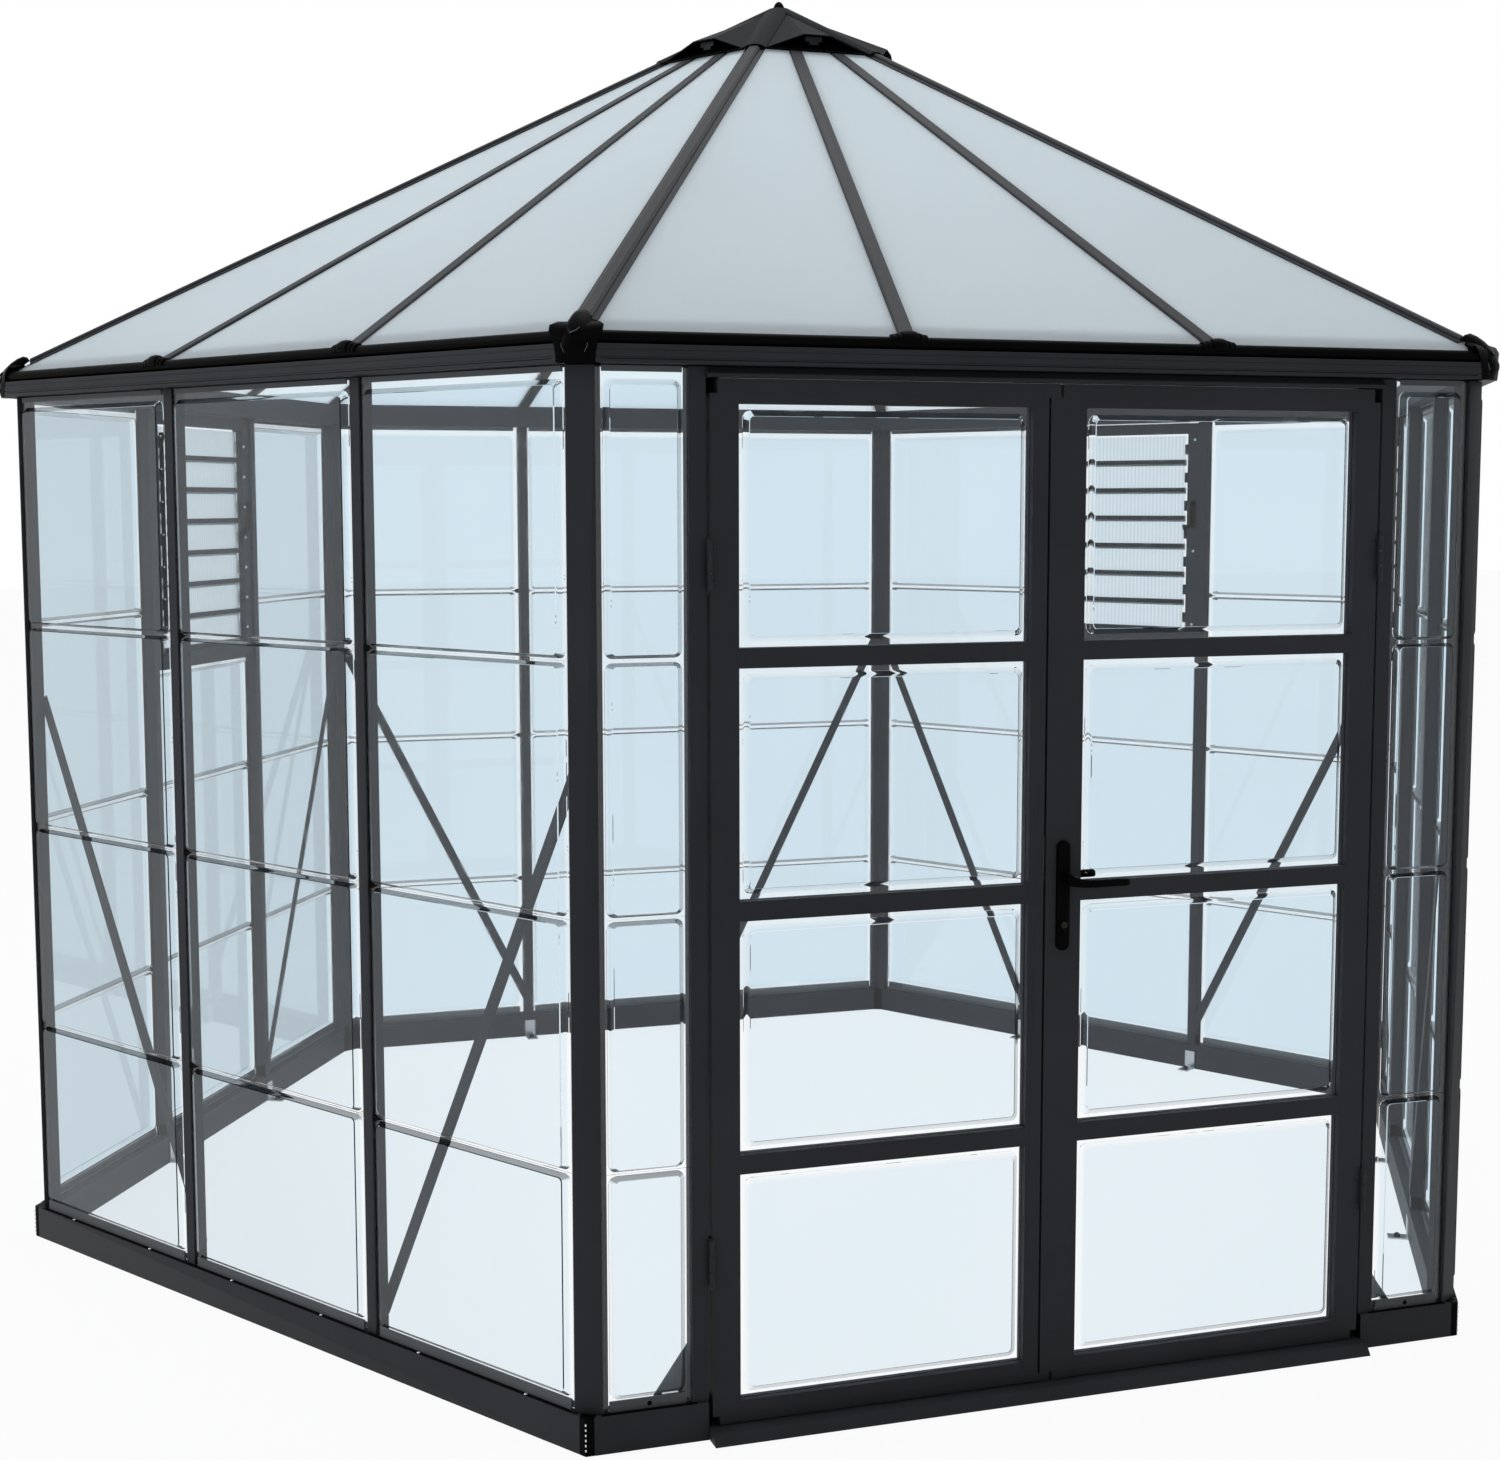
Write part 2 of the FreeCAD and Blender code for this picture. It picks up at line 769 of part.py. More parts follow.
def eave_corner_connector():
    a, z = roll_place
    inner_a = beam_outer + edge_gap
    low_side = (inner_a - sin_half * connector_half) / cos_half
    out_side = (gutter_outer + connector_lap - sin_half * connector_half) / cos_half
    base = [(low_side, -connector_half), (out_side, -connector_half), (connector_nose, -hood_half)]
    base += [(r, -q) for r, q in reversed(base)]
    base.append((inner_a / cos_half, 0))
    lower = drawn([corner_point(r, q, wall_top) for r, q in base], UP * (gutter_top - wall_top))
    end = roll_half + edge_gap
    half_ends = [(end, a - roll_radius), (end, a + roll_radius + connector_lap)]
    wing = [(sin_half * s + cos_half * p, cos_half * s - sin_half * p) for s, p in half_ends]
    wing.append((connector_nose + connector_lap, -hood_half))
    wing += [(r, -q) for r, q in reversed(wing)]
    upper = drawn([corner_point(r, q, gutter_top) for r, q in wing], UP * (2 * roll_radius + connector_lap))
    start = hip_foot + edge_gap
    hip_line = panel_apex - hip_slope * start
    hood = [(start + r, hip_line + h) for r, h in hood_crest]
    hood += [(start + hood_crest[-1][0], gutter_bottom), (start + hood_back, gutter_bottom)]
    hood += [(start + hood_back, hip_line - hood_back * hip_slope + hood_lift), (start, hip_line + hood_lift)]
    crest = drawn([corner_point(r, -hood_half, h) for r, h in hood], corner_point(0, 2 * hood_half, 0))
    shield = [(hood_half - inset, gutter_bottom + h) for inset, h in hood_insets]
    shield += [(-q, h) for q, h in reversed(shield)]
    reach = corner_point(hip_setback + connector_overhang + hood_half, 0, 0)
    face = drawn([corner_point(hip_foot, q, h) for q, h in shield], reach)
    body = lower.fuse([upper, crest.common(face)])
    floor = [corner_point(start + r, -dish_half, hip_line + h) for r, h in dish_floor]
    dish = drawn(floor, corner_point(0, 2 * dish_half, 0))
    slot = roof_slab(corner_panel_outline(edge_gap), half_panel + edge_gap)
    return body.cut([slot, on_wall(mirrored(slot), 1), dish]).removeSplitter()


# Roof bars and panels
def hip_rafter():
    droop = math.tan(hip_droop)
    clear = (half_panel + groove_gap) / math.cos(hip_droop)

    def under_cover(w):
        return clear - droop * w

    half = [(hip_crown_flat, hip_rise), (hip_crown_half, hip_rise - hip_crown_slant)]
    half += [(w, under_cover(w) + cover_thickness) for w in (hip_crown_half, hip_half)]
    half += [(hip_half, under_cover(hip_half)), (web_half, under_cover(web_half))]
    half += [(web_half, -clear - droop * web_half), (hip_box_half, -clear - droop * hip_box_half)]
    half.append((hip_box_half, -rafter_depth))
    section = half + [(-w, n) for w, n in reversed(half)]
    lean_r = math.sin(hip_pitch)
    lean_z = math.cos(hip_pitch)
    start = hip_foot + rafter_depth
    start_z = panel_apex - hip_slope * start
    points = [corner_point(start + n * lean_r, w, start_z + n * lean_z) for w, n in section]
    run = hip_top_end - start
    bar = drawn(points, corner_point(run, 0, -hip_slope * run))
    beyond = rectangle(hip_foot, corner_radius, -2 * hip_half, 2 * hip_half)
    return bar.cut(drawn([corner_point(r, q, wall_top) for r, q in beyond], UP * wall_top))


def rafter():
    clear = half_panel + groove_gap
    half = [(rafter_half - rafter_round, rafter_rise), (rafter_half, rafter_rise - rafter_round)]
    half += [(rafter_half, clear), (web_half, clear), (web_half, -clear), (rafter_box_half, -clear)]
    half.append((rafter_box_half, -rafter_depth))
    section = half + [(-w, n) for w, n in reversed(half)]
    cosine = math.cos(rafter_slant)
    sine = math.sin(rafter_slant)
    start = rafter_foot / math.cos(pitch) / cosine
    end = rafter_top_end / math.cos(pitch) / cosine
    points = [roof_point(start * sine + w * cosine, start * cosine - w * sine, n) for w, n in section]
    sweep = roof_point(end * sine, end * cosine, 0) - roof_point(start * sine, start * cosine, 0)
    return drawn(points, sweep)


def roof_panels():
    side = roof_slab(corner_panel_outline(0), half_panel)
    inset = (web_half + edge_gap) / math.cos(rafter_slant)
    low = panel_low / math.cos(pitch)
    high = panel_high / math.cos(pitch)
    low_half = low * math.tan(rafter_slant) - inset
    high_half = high * math.tan(rafter_slant) - inset
    outline = [(-low_half, low), (low_half, low), (high_half, high), (-high_half, high)]
    middle = roof_slab(outline, half_panel)
    solids = []
    for index in range(wall_count):
        solids += [on_wall(shape, index) for shape in (mirrored(side), middle, side)]
    return solids


def apex_hub():
    profile = [(hub_outer, beam_crown(hub_outer)), (hub_inner, beam_crown(hub_inner))]
    profile += [(a, z - hub_height) for a, z in reversed(profile)]
    parts = all_round(mitred(profile, 0))
    return parts[0].fuse(parts[1:]).removeSplitter()


# Vent cap over the apex: a six-sided cover with ribs over the hips and a hooded vent in each face
def hexagon(radius, z):
    angles = [2 * half_turn * index for index in range(wall_count)]
    return [FreeCAD.Vector(radius * math.cos(angle), radius * math.sin(angle), z) for angle in angles]


def frustum(low_points, high_points):
    count = len(low_points)
    faces = [Part.Face(Part.makePolygon(ring + ring[:1])) for ring in (low_points, high_points)]
    for k in range(count):
        n = (k + 1) % count
        quad = [low_points[k], low_points[n], high_points[n], high_points[k]]
        faces.append(Part.Face(Part.makePolygon(quad + quad[:1])))
    solid = Part.Solid(Part.Shell(faces))
    if solid.Volume < 0:
        solid.reverse()
    return solid


def cap_form(crown, radius, top):
    rim = crown - hip_slope * radius
    top_radius = (crown - top) / hip_slope
    return frustum(hexagon(radius, rim), hexagon(top_radius, top))


def vent_form(front, margin, top):
    low_half, high_half = vent_front
    low = vent_low + margin
    high = vent_high - margin
    ring = [(-low_half + 2 * margin, low), (low_half - 2 * margin, low), (high_half - margin / 2, high)]
    ring.append((-high_half + margin / 2, high))
    lift = top - high
    front_points = [wall_point(s, front, z) for s, z in ring]
    back = [(s * vent_taper, high + lift + (z - high) * vent_taper) for s, z in ring]
    back_points = [wall_point(s, vent_back, z) for s, z in back]
    return frustum(front_points, back_points)


def cap_rib(half_width, rise, crown, start, end):
    low = crown - hip_slope * start
    high = crown - hip_slope * end
    root = 2 * half_width * math.tan(hip_droop)
    side = [(start, low - root), (start, low + rise), (end, high + rise), (end, high - root)]
    return drawn([corner_point(r, -half_width, z) for r, z in side], corner_point(0, 2 * half_width, 0))


def apex_cap():
    outer_crown = cap_crown + cap_wall / math.cos(pitch)
    hip_crown = panel_apex + hip_rise / math.cos(hip_pitch) + cap_gap
    rib_rise = hip_crown - cap_crown
    front = cap_radius * cos_half
    skirt = drawn(hexagon(cap_radius, cap_rim), UP * (cap_top - cap_rim))
    vent_top = outer_crown - vent_back * math.tan(pitch)
    outer = cap_form(outer_crown, cap_radius, cap_top)
    rib = cap_rib(cap_rib_half, rib_rise + cap_wall, cap_crown, cap_radius, cap_rib_end)
    vent = vent_form(front - cap_wall, 0, vent_top)
    outer = outer.fuse(all_round(rib) + all_round(vent)).common(skirt)
    inner = cap_form(cap_crown, cap_radius + cap_wall, cap_top - cap_wall)
    groove_half = cap_rib_half - cap_wall
    groove = cap_rib(groove_half, rib_rise, cap_crown, cap_radius + cap_wall, cap_rib_end + cap_wall)
    mouth = vent_form(front + cap_wall, cap_wall, vent_top - vent_roof)
    return outer.cut([inner] + all_round(groove) + all_round(mouth)).removeSplitter()


def apex_finial():
    rings = [hexagon(radius, cap_top + z) for radius, z in finial_profile]
    levels = [frustum(low, high) for low, high in zip(rings, rings[1:])]
    return levels[0].fuse(levels[1:]).removeSplitter()


# Door leaves
def leaf_stile(glass, edge):
    # glass is the side with the pane groove, edge the plain side
    into = groove_depth if edge > glass else -groove_depth
    section = [(glass, leaf_inner), (edge, leaf_inner), (edge, leaf_face), (glass, leaf_face)]
    section += [(glass, leaf_groove_front), (glass + into, leaf_groove_front)]
    section += [(glass + into, leaf_groove_back), (glass, leaf_groove_back)]
    wall = math.copysign(leaf_wall, into)
    hollow = rectangle(glass + into + wall, edge - wall, leaf_inner + leaf_wall, leaf_face - leaf_wall)
    return upright(section, stile_bottom, stile_top, hollow)


def lipped_stile():
    lip_back = leaf_face - lip_thickness
    section = [(right_box_edge, leaf_inner), (right_glass_edge, leaf_inner)]
    section += [(right_glass_edge, leaf_groove_back), (right_glass_edge - groove_depth, leaf_groove_back)]
    section += [(right_glass_edge - groove_depth, leaf_groove_front), (right_glass_edge, leaf_groove_front)]
    section += [(right_glass_edge, leaf_face), (-lip_edge, leaf_face)]
    section += [(-lip_edge, lip_back), (right_box_edge, lip_back)]
    hollow = rectangle(right_box_edge + leaf_wall, right_glass_edge - groove_depth - leaf_wall,
                       leaf_inner + leaf_wall, leaf_face - leaf_wall)
    stile = upright(section, stile_bottom, stile_top, hollow)
    neck = handle_bore(lever_neck_radius, lever_height, leaf_inner - overrun, leaf_face + overrun)
    barrel = handle_bore(lock_radius, lock_height, leaf_inner - overrun, leaf_face + overrun)
    return stile.cut([neck, barrel, latch_slot(-lip_edge, leaf_wall + right_box_edge + overrun)])


def latch_slot(s0, s1):
    front = leaf_middle + bolt_size[1] / 2 + slide_gap
    back = 2 * leaf_middle - front
    top = bolt_height + bolt_size[2] / 2 + slide_gap
    return block(s0, s1, back, front, 2 * bolt_height - top, top)


def leaf_rail(left, right, glass_z, step_z):
    depth = math.copysign(groove_depth, step_z - glass_z)
    profile = [(leaf_inner, step_z), (leaf_face, step_z), (leaf_face, glass_z), (leaf_groove_front, glass_z)]
    profile += [(leaf_groove_front, glass_z + depth), (leaf_groove_back, glass_z + depth)]
    profile += [(leaf_groove_back, glass_z), (leaf_inner, glass_z)]
    return along(profile, left, right)


def leaf_bar(left, right, centre):
    half = leaf_bar_height / 2
    quarter = [(leaf_inner, half), (leaf_groove_back, half), (leaf_groove_back, half - groove_depth)]
    quarter += [(leaf_groove_front, half - groove_depth), (leaf_groove_front, half), (leaf_face, half)]
    profile = [(a, centre + z) for a, z in quarter] + [(a, centre - z) for a, z in reversed(quarter)]
    return along(profile, left, right)


def leaf_frame(glass, free_edge, side):
    # side is +1 for the right leaf and -1 for the left one
    hinge_glass = side * glass_hinge_side
    ends = sorted((free_edge, side * (leaf_edge - rail_end_step)))
    left, right = sorted((glass, hinge_glass))
    solids = [leaf_stile(hinge_glass, side * leaf_edge)]
    solids.append(leaf_rail(left, right, glass_high, stile_top))
    solids.append(leaf_rail(left, right, glass_low, stile_bottom))
    solids.append(block(*ends, leaf_inner, leaf_face, stile_top, leaf_top))
    solids.append(block(*ends, leaf_inner, leaf_face, leaf_bottom, stile_bottom))
    solids += [leaf_bar(left, right, centre) for centre in leaf_bar_centres]
    return solids


def leaf_panes(glass, side):
    seat = groove_depth - edge_gap
    left, right = sorted((glass, side * glass_hinge_side))
    half = leaf_bar_height / 2
    levels = [glass_low]
    for centre in leaf_bar_centres:
        levels += [centre - half, centre + half]
    levels.append(glass_high)
    solids = []
    for low, high in zip(levels[::2], levels[1::2]):
        edges = (left - seat, right + seat, low - seat, high + seat)
        solids.append(pan(*edges, leaf_pane_back, leaf_pane_bulge))
    return solids


# Hinges, drawn on the right; the leaf knuckle turns between the two on the jamb
def hinge_line(low, high):
    s, a = hinge_axis
    return wall_point(s, a, low), wall_point(s, a, high)


def hinge_half(plate_s, face, low, knuckles):
    high = low + hinge_height
    edge = plate_s + hinge_plate
    body = block(plate_s, edge, hinge_plate_inner, face, low, high)
    pieces = []
    for start, end in knuckles:
        pieces.append(block(plate_s, edge, hinge_plate_inner, hinge_axis[1], start, end))
        pieces.append(flat_rod(knuckle_radius, *hinge_line(start, end), barrel_sides))
    bore = pin_bore(pin_radius, *hinge_line(low - overrun, high + overrun))
    return body.fuse(pieces).cut(bore).removeSplitter()


def hinge_parts(centre):
    low = centre - hinge_height / 2
    high = centre + hinge_height / 2
    third = hinge_height / 3
    leaf_knuckle = [(low + third + knuckle_gap, high - third - knuckle_gap)]
    leaf_half = hinge_half(leaf_edge, leaf_face, low, leaf_knuckle)
    jamb_knuckles = [(low, low + third), (high - third, high)]
    jamb_half = hinge_half(jamb_inner - hinge_plate, jamb_face, low, jamb_knuckles)
    return leaf_half, jamb_half, pin(pin_radius, *hinge_line(low, high))


# Lever handle and lock on the right leaf
def handle_line(z, inner, outer):
    return wall_point(handle_place, inner, z), wall_point(handle_place, outer, z)


def handle_rod(radius, z, inner, outer):
    return flat_rod(radius, *handle_line(z, inner, outer), barrel_sides, True)


def handle_bore(radius, z, inner, outer):
    return flat_bore(radius, *handle_line(z, inner, outer), barrel_sides)


def plate_ring(a, inset):
    # Round-ended outline of the handle plate
    half = handle_plate_width / 2
    ring = []
    for centre, begin in ((handle_plate_high - half, 0), (handle_plate_low + half, 180)):
        for k in range(handle_plate_steps + 1):
            angle = math.radians(begin + 180 * k / handle_plate_steps)
            s = handle_place + (half - inset) * math.cos(angle)
            ring.append(wall_point(s, a, centre + (half - inset) * math.sin(angle)))
    return ring


def handle_plate(seat, way):
    shoulder = seat + way * (handle_plate_thickness - handle_plate_slope)
    top = seat + way * handle_plate_thickness
    base = frustum(plate_ring(seat, 0), plate_ring(shoulder, 0))
    crown = frustum(plate_ring(shoulder, 0), plate_ring(top, handle_plate_slope))
    inner, outer = sorted((seat - way, top + way))
    neck = handle_bore(lever_neck_radius, lever_height, inner, outer)
    barrel = handle_bore(lock_radius, lock_height, inner, outer)
    return base.fuse(crown).removeSplitter().cut([neck, barrel])


def lever(root, tip):
    # Bent bar on a round collar: straight out, a sloped elbow, then the arm
    way = math.copysign(1, tip - root)
    half = lever_width / 2
    inside, outside = lever_elbow
    arm = abs(tip - root) - lever_width
    plan = [(-half, 0), (half, 0), (half, arm - inside), (half + inside, arm), (lever_length, arm)]
    plan += [(lever_length, arm + lever_width), (outside - half, arm + lever_width)]
    plan.append((-half, arm + lever_width - outside))
    points = [wall_point(handle_place + s, root + way * d, lever_height - half) for s, d in plan]
    bar = drawn(points, UP * lever_width)
    rims = [edge for edge in bar.Edges if abs(edge.Vertexes[0].Z - edge.Vertexes[-1].Z) < lever_chamfer]
    rims = [edge for edge in rims if any(abs(-v.Y - root) > lever_chamfer for v in edge.Vertexes)]
    bar = bar.makeChamfer(lever_chamfer, rims)
    collar = handle_plate_thickness + lever_collar - leaf_wall
    return bar.fuse(handle_rod(lever_neck_radius, lever_height, root, root + way * collar)).removeSplitter()


def handle_pieces():
    half = spindle_size / 2
    outer_root = leaf_face + leaf_wall
    inner_root = leaf_inner - leaf_wall
    socket = 2 * leaf_wall
    spindle = block(handle_place - half, handle_place + half, inner_root - socket, outer_root + socket,
                    lever_height - half, lever_height + half)
    outer = lever(outer_root, leaf_face + handle_plate_thickness + lever_reach).cut(spindle)
    inner = lever(inner_root, leaf_inner - handle_plate_thickness - lever_reach).cut(spindle)
    return [outer, inner], spindle


def lock_case():
    width, depth, height = case_size
    front = leaf_middle + depth / 2
    start = right_box_edge + leaf_wall
    case = block(start, start + width, front - depth, front, case_low, case_low + height)
    hub = handle_rod(spindle_size, lever_height, leaf_inner, leaf_face)
    barrel = handle_bore(lock_radius, lock_height, leaf_inner, leaf_face)
    pocket = latch_slot(start - overrun, bolt_size[0] - bolt_reach + bolt_throw + right_box_edge)
    return case.cut([hub, barrel, pocket])


def latch_bolt():
    length, depth, height = bolt_size
    front = leaf_middle + depth / 2
    start = right_box_edge - bolt_reach
    nose = [(start, front - depth), (start + length, front - depth), (start + length, front)]
    nose += [(start + depth, front), (start, leaf_middle)]
    return upright(nose, bolt_height - height / 2, bolt_height + height / 2)


def lock_pieces():
    outer = leaf_face + handle_plate_thickness + lock_stand
    inner = leaf_inner - handle_plate_thickness - lock_stand
    shell = handle_rod(lock_radius, lock_height, inner, outer)
    shell = shell.cut(handle_bore(plug_radius, lock_height, inner - overrun, outer + overrun))
    plug = handle_rod(plug_radius, lock_height, inner, outer)
    width, height, depth = key_slot
    key = block(handle_place - width / 2, handle_place + width / 2, outer - depth, outer + overrun,
                lock_height - height / 2, lock_height + height / 2)
    return shell, plug.cut(key)


def strike_plate():
    thickness, depth, height = strike_size
    front = leaf_middle + depth / 2
    start = -left_stile_edge
    plate = block(start, start + thickness, front - depth, front,
                  bolt_height - height / 2, bolt_height + height / 2)
    return plate.cut(latch_slot(start - overrun, start + thickness + overrun))


# Louvre windows, drawn in the middle bay
def louvre_frame():
    fin = post_place - web_half - edge_gap
    edge = post_place - post_half - edge_gap
    front = pan_back + pan_thickness
    section = [(louvre_stile_edge, louvre_inner), (edge, louvre_inner), (edge, pan_back), (fin, pan_back)]
    section += [(fin, front), (edge, front), (edge, louvre_face), (louvre_stile_edge, louvre_face)]
    stile = upright(section, louvre_low + groove_depth, louvre_high)
    bores = []
    for z in slat_pivots:
        start = wall_point(louvre_stile_edge - overrun, slat_plane, z)
        depth = overrun + pivot_depth + pivot_end_gap
        bores.append(pin_bore(pivot_radius, start, start + FreeCAD.Vector(depth, 0, 0)))
    stile = stile.cut(bores)
    half = louvre_stile_edge
    top = block(-half, half, louvre_inner, louvre_face, louvre_high - louvre_top_rail, louvre_high)
    shelf = louvre_low + louvre_bottom_rail
    crest = shelf + louvre_upstand
    back = louvre_inner + louvre_upstand_depth
    slot = louvre_low + groove_depth
    profile = [(louvre_inner, louvre_low), (groove_back, louvre_low), (groove_back, slot)]
    profile += [(groove_front, slot), (groove_front, louvre_low), (louvre_face, louvre_low)]
    profile += [(louvre_face, shelf), (back, shelf), (back, crest), (louvre_inner, crest)]
    return [stile, mirrored(stile), top, along(profile, -half, half)]


def slat_blade(pivot):
    left, right = slat_ends
    half = slat_thickness / 2
    return block(left, right, slat_plane - half, slat_plane + half, pivot - slat_half, pivot + slat_half)


def slat_edge_bar(pivot):
    # Channel along the slat's lower edge, with a front wall that hangs down as a drip edge
    left, right = slat_ends
    inside = slat_thickness / 2 + running_gap
    back, front = edge_bar_walls
    upper = edge_bar_lap - slat_half
    floor = -slat_half - running_gap
    profile = [(-inside - back, upper), (-inside, upper), (-inside, floor), (inside, floor), (inside, upper)]
    profile += [(inside + front, upper), (inside + front, floor - edge_bar_drip)]
    profile += [(inside + edge_bar_step, floor - back), (-inside - back, floor - back)]
    return along([(slat_plane + a, pivot + z) for a, z in profile], left, right)


def crank_point(s, pivot):
    angle = math.radians(crank_angle)
    return wall_point(s, slat_plane - crank_length * math.cos(angle), pivot + crank_length * math.sin(angle))


def crank_arm(length, left, right, pivot):
    # Arm that rises inwards from the pivot to an end that lies at the crank angle
    deep, tall = slat_clip_half
    reach = length * math.cos(math.radians(crank_angle)) + deep
    outline = [(deep, -tall), (deep, tall / 2), (2 * deep - reach, reach), (-reach, reach)]
    outline += [(-reach, reach - 2 * deep), (-deep, -tall / 2), (-deep, -tall)]
    return along([(slat_plane + a, pivot + z) for a, z in outline], left, right)


def slat_clips(pivot):
    # The middle slat's crank pin carries the link, so it is a bearing
    left = slat_ends[0] - running_gap
    right = slat_ends[1] + running_gap
    deep, tall = slat_clip_half
    plain = block(left - slat_clip, left, slat_plane - deep, slat_plane + deep, pivot - tall, pivot + tall)
    bearing = louvre_stile_edge + pivot_depth
    start = wall_point(left, slat_plane, pivot)
    plain_pin = flat_rod(pivot_radius, start, wall_point(-bearing, slat_plane, pivot), socket_sides)
    arm = crank_arm(crank_length, right, right + slat_clip, pivot)
    start = wall_point(right, slat_plane, pivot)
    arm_pin = pin(pivot_radius, start, wall_point(bearing, slat_plane, pivot))
    pin_end = right + slat_clip + link_thickness + crank_pin_radius
    carries_link = pivot == slat_pivots[slat_count // 2]
    crank_pin = pin(crank_pin_radius, crank_point(right, pivot), crank_point(pin_end, pivot), carries_link)
    return [plain.fuse(plain_pin).removeSplitter(), arm.fuse([arm_pin, crank_pin]).removeSplitter()]


def louvre_link():
    start = slat_ends[1] + slat_clip + link_gap
    centre = crank_point(start, slat_pivots[0])
    low = slat_pivots[-1] + (centre.z - slat_pivots[0]) - link_overhang
    bar = block(start, start + link_thickness, -centre.y - link_width / 2, -centre.y + link_width / 2,
                low, centre.z + link_overhang)
    holes = []
    for pivot in slat_pivots:
        holes.append(pin_bore(crank_pin_radius, crank_point(start - overrun, pivot),
                              crank_point(start + link_thickness + overrun, pivot)))
    return bar.cut(holes)


def louvre_lever():
    pivot = slat_pivots[slat_count // 2]
    inner_s = slat_ends[0] - 2 * running_gap - slat_clip
    plate_s = inner_s - lever_plate
    plate = crank_arm(lever_crank, plate_s, inner_s, pivot)
    rise = lever_crank * math.cos(math.radians(crank_angle))
    middle = slat_plane - rise
    half = lever_bar / 2
    left = lever_handle_place - lever_handle_width / 2
    low = pivot + rise - half
    bridge = block(left, inner_s, middle - half, middle + half, low, low + lever_bar)
    right = left + lever_handle_width
    handle = block(left, right, middle - half, middle + half, low, pivot + lever_rise)
    start = wall_point(plate_s - overrun, slat_plane, pivot)
    end = wall_point(inner_s + overrun, slat_plane, pivot)
    bore = pin_bore(pivot_radius, start, end)
    return plate.fuse([bridge, handle]).cut(bore).removeSplitter()


# Build and write every piece
export("base_rails", base_rails())
export("base_corners", all_round(base_corner()))
export("door_threshold", [door_threshold()])
export("corner_posts", all_round(corner_post()))
posts = [wall_post(post_place), wall_post(-post_place)]
export("wall_posts", [on_wall(post, index) for index in range(1, wall_count) for post in posts])
export("door_jambs", [door_jamb(), mirrored(door_jamb())])
export("door_header", [door_header()])
export("sill_bars", glazing_bars(sill_bar, True))
export("head_bars", glazing_bars(head_bar, False))
export("wall_panels", wall_panels())
braces = [corner_brace(), mirrored(corner_brace())]
export("corner_braces", [on_wall(brace, index) for index in range(1, wall_count) for brace in braces])
export("gusset_plates", [gusset_plate(), mirrored(gusset_plate())])
brackets = [anchor_bracket(post_place), anchor_bracket(-post_place)]
export("anchor_brackets", [on_wall(piece, index) for index in range(1, wall_count) for piece in brackets])

export("ring_beams", all_round(ring_beam()))
export("gutters", all_round(gutter()))
export("eave_trims", all_round(eave_trim()))
foot_place = rafter_spread * roll_place[0]
clips = [rafter_clip(foot_place), rafter_clip(-foot_place)]
export("rafter_clips", [shape for clip in clips for shape in all_round(clip)])
export("eave_corner_connectors", all_round(eave_corner_connector()))
export("hip_rafters", all_round(hip_rafter()))
export("rafters", all_round(rafter()) + all_round(mirrored(rafter())))
export("roof_panels", roof_panels())
export("apex_hub", [apex_hub()])
export("apex_cap", [apex_cap()])
export("apex_finial", [apex_finial()])

export("left_leaf_frame", leaf_frame(-left_glass_edge, -left_rail_edge, -1)
       + [leaf_stile(-left_glass_edge, -left_stile_edge)])
export("right_leaf_frame", leaf_frame(right_glass_edge, right_box_edge, 1) + [lipped_stile()])
export("left_leaf_panes", leaf_panes(-left_glass_edge, -1))
export("right_leaf_panes", leaf_panes(right_glass_edge, 1))
hinges = [hinge_parts(centre) for centre in hinge_centres]
export("right_hinge_plates", [leaf_half for leaf_half, jamb_half, hinge_pin in hinges])
export("left_hinge_plates", [mirrored(leaf_half) for leaf_half, jamb_half, hinge_pin in hinges])
jamb_halves = [jamb_half for leaf_half, jamb_half, hinge_pin in hinges]
export("hinge_jamb_plates", jamb_halves + [mirrored(shape) for shape in jamb_halves])
pins = [hinge_pin for leaf_half, jamb_half, hinge_pin in hinges]
export("hinge_pins", pins + [mirrored(shape) for shape in pins])

levers, spindle = handle_pieces()
export("handle_levers", levers)
export("handle_spindle", [spindle])
export("handle_plates", [handle_plate(leaf_face, 1), handle_plate(leaf_inner, -1)])
export("lock_case", [lock_case()])
export("latch_bolt", [latch_bolt()])
barrel, plug = lock_pieces()
export("lock_cylinder", [barrel])
export("lock_plug", [plug])
export("strike_plate", [strike_plate()])

frames = louvre_frame()
export("louvre_frames", [on_wall(shape, index) for index in louvre_walls.values() for shape in frames])
for name, index in louvre_walls.items():
    for number, pivot in enumerate(slat_pivots, start=1):
        pieces = [slat_blade(pivot), slat_edge_bar(pivot)] + slat_clips(pivot)
        export(name + "_louvre_slat_" + str(number), [on_wall(shape, index) for shape in pieces])
    export(name + "_louvre_link", [on_wall(louvre_link(), index)])
    export(name + "_louvre_lever", [on_wall(louvre_lever(), index)])
